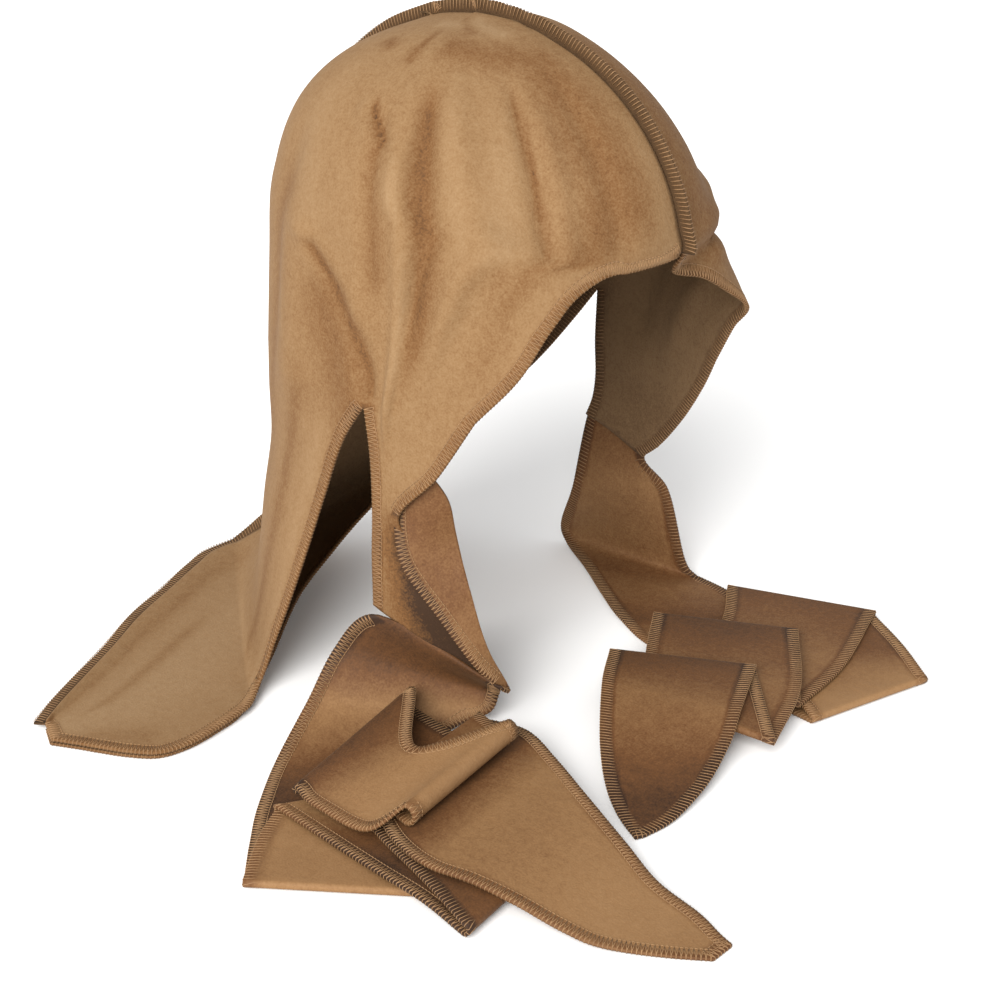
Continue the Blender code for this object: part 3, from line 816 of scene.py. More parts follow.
class Bench:
    """The nodes of one material."""

    def __init__(self, name: str) -> None:
        """Starts a material with its shader and output alone.

        Args:
            name: The material's name.
        """
        self.material = bpy.data.materials.new(name)
        self.material.use_nodes = True
        self.tree = self.material.node_tree
        self.shader = self.tree.nodes["Principled BSDF"]

    def node(self, kind: str, settings: dict[str, Any], values: dict[Any, Any], out: Any = 0) -> Sock:
        """Adds one node.

        Args:
            kind: The node's type.
            settings: Its own settings; stops sets a ramp's colours.
            values: Values or sockets for its inputs, by name or number.
            out: Which output is returned.

        Returns:
            The wanted output.
        """
        made = self.tree.nodes.new(kind)
        for key, value in settings.items():
            if key == "stops":
                ramp = made.color_ramp
                while len(ramp.elements) < len(value):
                    ramp.elements.new(1.0)
                for element, (place, colour) in zip(ramp.elements, value):
                    element.position = place
                    element.color = (*colour, 1.0)
            else:
                setattr(made, key, value)
        for key, value in values.items():
            self.feed(made.inputs[key], value)
        return Sock(self, made.outputs[out])

    def feed(self, target: bpy.types.NodeSocket, value: Any) -> None:
        """Sets an input to a value or links a socket to it.

        Args:
            target: The input.
            value: The value, or the socket to link.
        """
        if isinstance(value, Sock):
            self.tree.links.new(value.socket, target)
        else:
            target.default_value = value

    def noise(self, place: Sock, scale: float, detail: float = 2.0, distortion: float = 0.0) -> Sock:
        """Noise around 0.

        Args:
            place: The coordinates that it follows.
            scale: Its cells per metre.
            detail: How much finer noise is laid over it.
            distortion: How much it is warped.

        Returns:
            The noise's value.
        """
        found = self.node("ShaderNodeTexNoise", {}, {"Vector": place, "Scale": scale, "Detail": detail,
                                                     "Distortion": distortion})
        return found - 0.5


Colour = tuple[float, float, float]


def linear(red: int, green: int, blue: int) -> Colour:
    """A display colour of 0 to 255 as the linear colour that shaders take."""
    shares = (red / 255.0, green / 255.0, blue / 255.0)
    return tuple(v / 12.92 if v <= 0.04045 else ((v + 0.055) / 1.055) ** 2.4 for v in shares)


@dataclass(frozen=True)
class NappedCloth:
    """Brushed cloth with a short suede nap that lies lighter and darker in patches. Its tone also carries
    painted shade, shadow and highlights, and its deep colour is reached mostly under painted shade and
    shadow.
    """

    name: str
    deep: Colour
    dark: Colour
    middle: Colour
    light: Colour
    mottle: float = 0.10
    streaks: float = 0.14
    grain: float = 0.44
    sheen: float = 0.14
    rough: float = 0.86
    crumple: float = 0.8

    def material(self) -> bpy.types.Material:
        """Builds the finish.

        Returns:
            The material.
        """
        bench = Bench(self.name)
        place = bench.node("ShaderNodeTexCoord", {}, {}, "Object")
        tone = bench.node("ShaderNodeAttribute", {"attribute_name": "tone"}, {}, "Fac")
        brushed = bench.node("ShaderNodeMapping", {}, {"Vector": place, "Scale": (1.0, 0.55, 0.30),
                                                       "Rotation": (0.25, 0.0, 0.35)})
        mottle = bench.noise(place, 26.0, 3.0, 0.6)
        streak = bench.noise(brushed, 120.0, 3.0, 1.2)
        grain = bench.noise(place, 1150.0, 2.0)
        tuft = bench.noise(place, 380.0, 2.0)
        # The tone brings in the nap's own patches together with painted shade, shadow, sheen and highlights
        level = (tone * 0.5 + 0.55 + mottle * self.mottle + streak * self.streaks
                 + grain * self.grain + tuft * (0.6 * self.grain)).clamp()
        stops = [(0.0, self.deep), (0.28, self.dark), (0.55, self.middle), (1.0, self.light)]
        bench.feed(bench.shader.inputs["Base Color"],
                   bench.node("ShaderNodeValToRGB", {"stops": stops}, {"Fac": level}))
        bench.feed(bench.shader.inputs["Roughness"], (self.rough + streak * 0.12).clamp())
        wrinkle = bench.noise(place, 42.0, 1.0, 1.0)
        height = grain + tuft * 0.8 + streak * 0.8 + wrinkle * self.crumple
        bench.feed(bench.shader.inputs["Normal"],
                   bench.node("ShaderNodeBump", {}, {"Strength": 0.35, "Distance": 0.0005,
                                                     "Height": height}))
        bench.shader.inputs["Sheen Weight"].default_value = self.sheen
        bench.shader.inputs["Sheen Roughness"].default_value = 0.45
        bench.shader.inputs["Sheen Tint"].default_value = (*self.light, 1.0)
        bench.shader.inputs["Specular IOR Level"].default_value = 0.25
        return bench.material


@dataclass(frozen=True)
class SewingThread:
    """Soft spun thread of the overlocked edges."""

    name: str
    dark: Colour
    light: Colour

    def material(self) -> bpy.types.Material:
        """Builds the finish.

        Returns:
            The material.
        """
        bench = Bench(self.name)
        place = bench.node("ShaderNodeTexCoord", {}, {}, "Object")
        twist = bench.noise(place, 900.0, 2.0, 0.5)
        patch = bench.noise(place, 60.0, 2.0)
        level = (0.5 + twist * 0.9 + patch * 0.6).clamp()
        bench.feed(bench.shader.inputs["Base Color"],
                   bench.node("ShaderNodeValToRGB", {"stops": [(0.0, self.dark), (1.0, self.light)]},
                              {"Fac": level}))
        bench.feed(bench.shader.inputs["Roughness"], (0.72 + twist * 0.2).clamp())
        bench.feed(bench.shader.inputs["Normal"],
                   bench.node("ShaderNodeBump", {}, {"Strength": 0.4, "Distance": 0.0002,
                                                     "Height": twist}))
        return bench.material


@dataclass(frozen=True)
class PaleFloor:
    """Matt white surface with a faint unevenness."""

    name: str = "pale_floor"
    colour: Colour = (0.93, 0.93, 0.93)

    def material(self) -> bpy.types.Material:
        """Builds the finish.

        Returns:
            The material.
        """
        bench = Bench(self.name)
        place = bench.node("ShaderNodeTexCoord", {}, {}, "Object")
        cloud = bench.noise(place, 3.0)
        bench.shader.inputs["Base Color"].default_value = (*self.colour, 1.0)
        bench.feed(bench.shader.inputs["Roughness"], (0.9 + cloud * 0.05).clamp())
        bench.shader.inputs["Specular IOR Level"].default_value = 0.1
        return bench.material


class Finish(Enum):
    """The finishes of this durag."""

    PANEL = NappedCloth("tan_suede_face", linear(52, 34, 20), linear(102, 69, 37),
                        linear(124, 95, 63), linear(144, 118, 87))
    # The back face: a darker colour of its own, made darker still as painted shade inside the hood
    LINING = NappedCloth("tan_suede_back", linear(52, 36, 22), linear(84, 61, 39),
                         linear(107, 83, 57), linear(124, 100, 72), sheen=0.06)
    TIE = NappedCloth("tan_suede_tie", linear(46, 28, 15), linear(92, 59, 31),
                      linear(127, 94, 60), linear(150, 118, 83), mottle=0.16, streaks=0.10, grain=0.28,
                      rough=0.70, crumple=3.0)
    SEAM = NappedCloth("seam_allowance", linear(40, 26, 14), linear(53, 36, 20),
                       linear(72, 51, 29), linear(90, 67, 42), sheen=0.06)
    THREAD = SewingThread("overlock_thread", linear(100, 69, 40), linear(158, 123, 84))


@cache
def finished(finish: Finish) -> bpy.types.Material:
    """The one material of a finish."""
    return finish.value.material()


# Meshes
def mesh_object(name: str, points: Array, faces: Sequence[Sequence[int]]) -> bpy.types.Object:
    """A smooth mesh object at the origin.

    Args:
        name: The object's name.
        points: Its points.
        faces: Its faces, as numbers of points.

    Returns:
        The object.
    """
    mesh = bpy.data.meshes.new(name)
    mesh.from_pydata([tuple(p) for p in points], [], [tuple(f) for f in faces])
    mesh.shade_smooth()
    made = bpy.data.objects.new(name, mesh)
    bpy.context.scene.collection.objects.link(made)
    return made


def apply_wall(made: bpy.types.Object, thickness: float, lining: bool) -> None:
    """Gives a sheet its wall.

    Args:
        made: The sheet.
        thickness: The wall's thickness.
        lining: Whether the inner face has the second finish.
    """
    for other in bpy.context.selected_objects:
        other.select_set(False)
    bpy.context.view_layer.objects.active = made
    made.select_set(True)
    wall = made.modifiers.new("wall", "SOLIDIFY")
    wall.thickness = thickness
    wall.offset = 0.0
    wall.use_even_offset = True
    wall.material_offset = 1 if lining else 0
    bpy.ops.object.modifier_apply(modifier=wall.name)
    made.select_set(False)


def numbered(start: int, rows: int, columns: int) -> Array:
    """Numbers of the points of a block, row by row."""
    return np.arange(start, start + rows * columns).reshape(rows, columns)


def grid_faces(rows: Sequence[Sequence[int]], flip: bool) -> list[tuple[int, int, int, int]]:
    """Quads between rows of points.

    Args:
        rows: The rows, as numbers of points, all of one length.
        flip: Whether the faces point the other way.

    Returns:
        The faces.
    """
    faces = []
    for upper, lower in zip(rows, rows[1:]):
        for a, b, c, d in zip(upper, upper[1:], lower[1:], lower):
            faces.append((a, d, c, b) if flip else (a, b, c, d))
    return faces


def point_normals(made: bpy.types.Object) -> Array:
    """The normals of a sheet at its points.

    Args:
        made: The sheet.

    Returns:
        One row for each point.
    """
    found = np.zeros(len(made.data.vertices) * 3)
    made.data.vertex_normals.foreach_get("vector", found)
    return found.reshape(-1, 3)


def sheet_tree(made: bpy.types.Object) -> BVHTree:
    """A search tree of a sheet's faces."""
    return BVHTree.FromPolygons([v.co for v in made.data.vertices],
                                [tuple(p.vertices) for p in made.data.polygons])


def set_tone(made: bpy.types.Object, tones: Array) -> None:
    """Stores how light or dark the nap lies at each point."""
    layer = made.data.attributes.new("tone", "FLOAT", "POINT")
    layer.data.foreach_set("value", np.ascontiguousarray(tones, dtype=np.float32))


def edge_painted_shade(points: Array, edges: Sequence[Array]) -> Array:
    """Painted shade along the free edges, where shade falls among the stitches of the thread.

    Args:
        points: The sheet's points.
        edges: For each free edge, the numbers of the points going in from it.

    Returns:
        One value for each point.
    """
    shade = np.zeros(len(points))
    for lines in edges:
        steps = np.linalg.norm(np.diff(points[lines], axis=1), axis=2)
        depths = np.concatenate((np.zeros((len(lines), 1)), np.cumsum(steps, axis=1)), axis=1)
        fade = np.clip((EDGE_WIDTH + EDGE_SHADE_PAST - depths) / EDGE_SHADE_FADE, 0.0, 1.0)
        shade[lines] = np.maximum(shade[lines], EDGE_SHADE * fade)
    return shade


@dataclass
class Overlock:
    """Overlocked edging: thread carried over the raw edge, with a needle line inside it.

    Lift, sink and overhang place the thread on, in and past the cloth, as shares of its
    radius. A normal counts as one of the same face when it turns less than same_face, a
    cosine.
    """

    name: str
    width: float = EDGE_WIDTH
    pitch: float = 0.0018
    thread: float = 0.00020
    wall: float = SIZES.cloth
    lift: float = 0.6
    sink: float = 0.5
    overhang: float = 0.7
    same_face: float = 0.2
    points: list[Array] = field(default_factory=list, init=False)
    faces: list[Array] = field(default_factory=list, init=False)
    count: int = field(default=0, init=False)

    def sew(self, lines: Array, normals: Array, surface: BVHTree | None = None) -> None:
        """Sews along one edge.

        Args:
            lines: For each place along the edge, the points going in from it.
            normals: The surface's normals at those points.
            surface: The sheet itself, where the lines don't go in squarely.
        """
        if surface is None:
            places, facings = self.depths(lines, normals)
        else:
            places, facings = self.squared(lines, normals, surface)
        along = measured(places[0])
        count = int(along[-1] / self.pitch)
        if count < 2:
            return
        wanted = np.linspace(0.0, along[-1], 2 * count + 1)
        spots = [between(wanted, along, p) for p in places]
        ups = [unit(between(wanted, along, n)) for n in facings]
        inward = unit(spots[1] - spots[0])
        high = self.wall / 2.0 + self.lift * self.thread
        low = self.wall / 2.0 - self.sink * self.thread
        # Each loop starts inside at a, turns over the edge at b and ends inside at c
        a = np.arange(0, 2 * count, 2)
        b, c = a + 1, a + 2
        middle_in = 0.5 * (spots[1][a] + spots[1][b])
        middle_up = 0.5 * (ups[1][a] + ups[1][b])
        back_in = 0.5 * (spots[1][b] + spots[1][c])
        back_up = 0.5 * (ups[1][b] + ups[1][c])
        rim = spots[0][b] - inward[b] * self.overhang * self.thread
        over = [spots[2][a] + ups[2][a] * low, middle_in + middle_up * high, spots[0][b] + ups[0][b] * high,
                rim, spots[0][b] - ups[0][b] * high, back_in - back_up * high, spots[2][c] - ups[2][c] * low]
        sides = [ups[2][a], middle_up, ups[0][b], -inward[b], -ups[0][b], -back_up, -ups[2][c]]
        self.strands(np.stack(over, 1), np.stack(sides, 1), self.thread)
        cross = [spots[0][b] + ups[0][b] * high, back_in + back_up * high, spots[2][c] + ups[2][c] * low]
        self.strands(np.stack(cross, 1), np.stack([ups[0][b], back_up, ups[2][c]], 1), self.thread)
        above = high + self.sink * self.thread
        needle = [spots[2][a] + ups[2][a] * low, spots[2][b] + ups[2][b] * above,
                  spots[2][c] + ups[2][c] * low]
        self.strands(np.stack(needle, 1), np.stack([ups[2][a], ups[2][b], ups[2][c]], 1), self.thread)

    def squared(self, lines: Array, normals: Array, surface: BVHTree) -> tuple[list[Array], list[Array]]:
        """Places that go in square to the edge over the sheet.

        Args:
            lines: For each place along the edge, the points going in from it.
            normals: The surface's normals at those points.
            surface: The sheet.

        Returns:
            Places and normals at the edge, halfway in and on the needle line.
        """
        edge, facing = lines[:, 0], normals[:, 0]
        squares = np.cross(facing, tangents(edge))
        squares *= np.sign(np.sum(squares * (lines[:, 2] - edge), axis=1))[:, None]
        places, facings = [edge], [facing]
        for depth in (0.5 * self.width, self.width):
            spots, ups = [], []
            for place, square, up in zip(edge, squares, facing):
                spot, normal, _, _ = surface.find_nearest(Vector(place + square * depth))
                spots.append(spot)
                ups.append(normal if np.dot(normal, up) > self.same_face else up)
            places.append(np.array(spots))
            facings.append(np.array(ups))
        return places, facings

    def depths(self, lines: Array, normals: Array) -> tuple[list[Array], list[Array]]:
        """Places that go in from the edge along the given lines.

        Args:
            lines: For each place along the edge, the points going in from it.
            normals: The surface's normals at those points.

        Returns:
            Places and normals at the edge, halfway in and on the needle line.
        """
        places, facings = [], []
        for depth in (0.0, 0.5 * self.width, self.width):
            places.append(np.array([between(depth, measured(line), line) for line in lines]))
            facings.append(np.array([between(depth, measured(line), facing)
                                     for line, facing in zip(lines, normals)]))
        return places, facings

    def strands(self, paths: Array, ups: Array, radius: float) -> None:
        """Adds many short threads, each a closed four-sided tube.

        Args:
            paths: The points of each thread, all of one number.
            ups: The directions away from the cloth at those points.
            radius: Half the thread's thickness.
        """
        ways = unit(np.gradient(paths, axis=1))
        across = unit(np.cross(ways, ups))
        tops = np.cross(across, ways)
        count, length = paths.shape[:2]
        rings = np.stack([paths + radius * (across * math.cos(angle) + tops * math.sin(angle))
                          for angle in (0.0, math.pi / 2, math.pi, 3 * math.pi / 2)], 2)
        base = self.count + np.arange(count)[:, None] * length * 4
        quads = []
        for k in range(length - 1):
            for side in range(4):
                after = (side + 1) % 4
                quads.append(base + np.array((4 * k + 4 + side, 4 * k + 4 + after, 4 * k + after,
                                              4 * k + side)))
        quads.append(base + np.array((0, 1, 2, 3)))
        quads.append(base + 4 * (length - 1) + np.array((3, 2, 1, 0)))
        self.faces.append(np.concatenate(quads))
        self.points.append(rings.reshape(-1, 3))
        self.count += count * length * 4

    def build(self) -> bpy.types.Object:
        """Makes one object of all the thread sewn so far.

        Returns:
            The object.
        """
        made = mesh_object(self.name, np.concatenate(self.points), np.concatenate(self.faces).tolist())
        made.data.materials.append(finished(Finish.THREAD))
        return made


@dataclass
class Panel:
    """One panel: half of the dome, the wing in front of its slit, the cape and half of the tail.

    Flat and area are those of the cut piece and are not used. The wing's painted shadow sets how much darker
    the lower wing is painted, where the tie hangs over it, and wing_sewn the share of the wing's front edge
    where its thread shows.
    """

    name: str
    side: Side
    front_rows: Sequence[Course]
    wing_rows: Sequence[Wing]
    cape_rows: Sequence[Edge]
    slit_fore: float
    folds: Sequence[Mark]
    patches: Sequence[Mark]
    flat: tuple[float, float]
    area: float
    wing_painted_shadow: float
    wing_sewn: float
    pattern: HoodPattern
    points: Array = field(init=False, repr=False)
    blocks: tuple[Array, Array, Array] = field(init=False, repr=False)
    rows_down: Array = field(init=False, repr=False)
    cape_down: Array = field(init=False, repr=False)
    seam: Array = field(init=False, repr=False)

    def marks(self, rows: Array, columns: Array, marks: Sequence[Mark], summed: bool) -> Array:
        """How strongly the marks act at each point of a block of courses.

        Args:
            rows: How far down each course is.
            columns: How far around each point is.
            marks: The folds or patches.
            summed: Whether marks that overlap add up, or the strongest one counts.

        Returns:
            One value for each point.
        """
        found = np.zeros((len(rows), len(columns)))
        lighter, darker = found.copy(), found.copy()
        around, down = columns[None, :], rows[:, None]
        for mark in marks:
            run = np.array((mark.end_around - mark.around, mark.end_down - mark.down))
            share = 0.0
            if run.any():
                share = np.clip(((around - mark.around) * run[0] + (down - mark.down) * run[1])
                                / run.dot(run), 0.0, 1.0)
            off = (around - mark.around - share * run[0]) / mark.width
            fall = (down - mark.down - share * run[1]) / mark.fade
            strength = mark.depth * np.exp(-off ** 2 - fall ** 2)
            found += strength
            lighter = np.maximum(lighter, strength)
            darker = np.minimum(darker, strength)
        return found if summed else lighter + darker

    def push_in(self, block: Array, depths: Array) -> Array:
        """Pushes a block of courses in along its normals.

        Args:
            block: The courses.
            depths: How far in each point goes.

        Returns:
            The courses with their folds.
        """
        normals = unit(np.cross(np.gradient(block, axis=0), np.gradient(block, axis=1)))
        centre = np.array((0.0, 0.0, -self.pattern.sizes.dome_depth))
        facing = np.sign(np.sum(normals * (block - centre), axis=2))[:, :, None]
        return block - normals * facing * depths[:, :, None]

    def courses(self) -> tuple[Array, Array, Array]:
        """Lays the panel's fine rows.

        Returns:
            The upper block, the wing and the cape with its half of the tail.
        """
        shape, size = self.pattern, self.pattern.sizes
        given = shape.upper_courses(self.side, self.front_rows, self.slit_fore)
        upper, places = smooth_rows(given)
        columns = np.linspace(0.0, 1.0, FRONT_COLUMNS + REAR_COLUMNS + 1)
        self.rows_down = places / places[-1] * BELT_DOWN
        depths = self.marks(self.rows_down, columns, self.folds, summed=True) * size.half_width
        fade = np.clip(places / FOLD_COURSES, 0.0, 1.0)[:, None]
        ends = np.minimum(np.arange(len(columns)), np.arange(len(columns))[::-1]) / FOLD_POINTS
        upper = self.push_in(upper, depths * fade * np.clip(ends, 0.0, 1.0)[None, :])
        wing, _ = smooth_rows(shape.wing_courses(self.side, upper[-1], self.wing_rows))
        cape, places = smooth_rows(shape.cape_courses(self.side, upper[-1], self.cape_rows))
        self.cape_down = BELT_DOWN + places / places[-1]
        cape[:, :, 2] = np.maximum(cape[:, :, 2], shape.tail_height(self.side))
        return upper, wing, cape

    def seam_line(self, upper: Array, cape: Array) -> Array:
        """Seam from the front point over the crown and down the back to the tail's tip.

        Args:
            upper: The rows of the upper block.
            cape: The rows of the cape and the tail.

        Returns:
            The seam's points.
        """
        front = upper[1:self.front_end(), 0][::-1]
        return np.concatenate((front, upper[0], upper[1:, -1], cape[1:, -1]))

    def front_end(self) -> int:
        """The number of the first fine row that ends at the front edge and not at the seam."""
        return int(np.searchsorted(self.rows_down, FRONT_DOWN + 1e-6))

    def sheet(self) -> bpy.types.Object:
        """Builds the panel's cloth and keeps its blocks for the edging.

        Returns:
            The sheet, still without its wall.
        """
        size = self.pattern.sizes
        upper, wing, cape = self.courses()
        self.seam = self.seam_line(upper, cape)
        ways, normals = tangents(self.seam), seam_normals(self.seam)
        across = self.side.value * np.cross(ways, normals)
        across *= math.copysign(1.0, np.cross(ways[0], normals[0])[0])
        room = size.seam_thickness / 2.0 + 0.5 * size.cloth
        shifts = across * room - normals * SEAM_TUCK
        self.points = np.concatenate((upper.reshape(-1, 3), wing[1:].reshape(-1, 3),
                                      cape[1:, 1:].reshape(-1, 3), cape[1:, 0]))
        # The wing and the cape share the belt with the upper block and nothing with each other
        numbers = numbered(0, *upper.shape[:2])
        wing_own = numbered(numbers.size, len(wing) - 1, wing.shape[1])
        cape_own = numbered(numbers.size + wing_own.size, len(cape) - 1, cape.shape[1] - 1)
        slit_own = numbered(int(cape_own.max()) + 1, len(cape) - 1, 1)
        cape_own = np.concatenate((slit_own, cape_own), axis=1)
        self.blocks = (numbers, np.concatenate((numbers[-1:, :FRONT_COLUMNS + 1], wing_own)),
                       np.concatenate((numbers[-1:, FRONT_COLUMNS:], cape_own)))
        self.clear_seam(shifts)
        self.points[:, 2] = np.maximum(self.points[:, 2], -size.stand_height + 0.5 * size.cloth)
        flip = self.side is Side.LEFT
        faces = [face for block in self.blocks for face in grid_faces(block.tolist(), flip)]
        return mesh_object(self.name, self.points, faces)

    def clear_seam(self, shifts: Array) -> None:
        """Moves the cloth beside the seam off it, easing over the next few points.

        Args:
            shifts: How far each point of the seam's edge moves.
        """
        numbers, _, cape = self.blocks
        fore_rows = numbers[1:self.front_end()][::-1]
        rear_rows = [row[::-1] for row in (*numbers[1:], *cape[1:])]
        fore, crown = len(fore_rows), numbers.shape[1]
        ease = 0.5 + 0.5 * np.cos(np.linspace(0.0, math.pi, SEAM_EASE + 1))[:-1, None]
        self.points[numbers[0]] += shifts[fore:fore + crown]
        for row, shift in (*zip(fore_rows, shifts), *zip(rear_rows, shifts[fore + crown:])):
            self.points[row[:SEAM_EASE]] += ease * shift

    def edges(self) -> list[Array]:
        """The panel's free edges.

        Returns:
            For the front edge, the slit's two edges and the tail's tip, the numbers of the
            points going in from it.
        """
        numbers, wing, cape = self.blocks
        front_start = int(np.searchsorted(self.rows_down, FRONT_DOWN - 1e-6))
        sewn = int(len(wing) * self.wing_sewn)
        deep = PANEL_EDGE_POINTS
        return [
            np.concatenate((numbers[front_start:, :deep], wing[1:sewn, :deep])),
            wing[::-1, ::-1][:, :deep],
            cape[:, :deep],
            cape[::-1, :-2].T[:, :deep],
        ]

    def build(self) -> list[bpy.types.Object]:
        """Builds the panel and its edging.

        Returns:
            The cloth and its thread.
        """
        made = self.sheet()
        normals = point_normals(made)
        edging = Overlock(f"{self.name}_overlock")
        surface = sheet_tree(made)
        for lines in self.edges():
            edging.sew(self.points[lines], normals[lines], surface)
        thread = edging.build()
        set_tone(made, self.tones())
        made.data.materials.append(finished(Finish.PANEL))
        made.data.materials.append(finished(Finish.LINING))
        apply_wall(made, self.pattern.sizes.cloth, lining=True)
        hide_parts(self.name.replace("_cloth", ""))
        for piece in (made, thread):
            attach(piece, "root")
        LOG.info("%s: %d faces, edging %d faces", made.name, len(made.data.polygons),
                 len(thread.data.polygons))
        return [made, thread]

    def tones(self) -> Array:
        """How light the cloth is painted: the nap's own patches together with painted shade and highlights
        of the folds, painted shadow on the wing and painted shade along the edges.

        Returns:
            One value for each point, below zero where it is darker.
        """
        numbers, wing, cape = self.blocks
        tones = np.zeros(len(self.points))
        columns = np.linspace(0.0, 1.0, numbers.shape[1])
        tones[cape] = self.marks(self.cape_down, columns[FRONT_COLUMNS:], self.patches, summed=False)
        tones[numbers] = self.marks(self.rows_down, columns, self.patches, summed=False)
        # Painted shadow on the lower wing, where the tie hangs over it
        down = np.clip(np.linspace(*WING_PAINTED_SHADOW_DOWN, len(wing)), 0.0, 1.0)[:, None]
        across = np.linspace(WING_PAINTED_SHADOW_ACROSS, 0.0, wing.shape[1])[None, :]
        tones[wing[1:]] += self.wing_painted_shadow * (down * np.clip(across, 0.0, 1.0))[1:]
        return tones - edge_painted_shade(self.points, self.edges())

    def sewn_wing(self) -> Array:
        """The wing's own courses, which its tie is sewn against."""
        belt = self.points[self.blocks[0][-1]]
        return np.array(self.pattern.wing_courses(self.side, belt, self.wing_rows))


@dataclass
class SeamBand:
    """The sewn allowance, a thin band that stands out along the whole seam.

    It leans a little from side to side, and where it stands up its lips reach under the cloth beside it. Its
    colour is lighter towards its outer edge and darker towards its base.
    """

    name: str
    line: Array
    sizes: Sizes = SIZES
    lean: float = 0.0004
    lean_turn: float = 0.35
    lip_reach: float = 2.4
    lip_fade: float = 1.6
    base_tone: float = -0.1
    rise_tone: float = 0.25
    sewn_share: float = 0.85
    sewn_points: int = 6

    def build(self) -> list[bpy.types.Object]:
        """Builds the band with the thread that closes it.

        Returns:
            The band and its thread.
        """
        s = self.sizes
        ways, normals = tangents(self.line), seam_normals(self.line)
        across = np.cross(ways, normals)
        half = s.seam_thickness / 2.0
        lean = np.sin(np.arange(len(self.line)) * self.lean_turn)[:, None] * self.lean
        lip = 1.0 + self.lip_reach * np.clip(1.0 - self.lip_fade * np.abs(across[:, 2:]), 0.0, 1.0)
        rings = [self.line + across * (half * at.aside * (lip if at.lip else 1.0) + lean * at.rise)
                 + normals * s.seam_stand * at.rise
                 for at in BAND_SECTION]
        points = np.stack(rings, 1)
        count, width = points.shape[:2]
        numbers = numbered(0, count, width)
        closed = np.concatenate((numbers, numbers[:, :1]), axis=1)
        faces = grid_faces(closed.tolist(), flip=False)
        faces.extend((tuple(numbers[0].tolist()), tuple(numbers[-1, ::-1].tolist())))
        made = mesh_object(self.name, points.reshape(-1, 3), faces)
        tones = [at.rise * self.rise_tone + self.base_tone for at in BAND_SECTION]
        set_tone(made, np.tile(tones, count))
        made.data.materials.append(finished(Finish.SEAM))
        edging = Overlock("centre_seam_overlock", width=s.seam_stand * self.sewn_share,
                          wall=s.seam_thickness)
        shares = np.linspace(1.0, 0.0, self.sewn_points)
        lines = np.stack([self.line + normals * s.seam_stand * share for share in shares], 1)
        edging.sew(lines, np.repeat(across[:, None, :], len(shares), 1))
        thread = edging.build()
        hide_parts("centre_seam")
        for piece in (made, thread):
            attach(piece, "root")
        LOG.info("%s: %d faces, thread %d faces", made.name, len(made.data.polygons),
                 len(thread.data.polygons))
        return [made, thread]


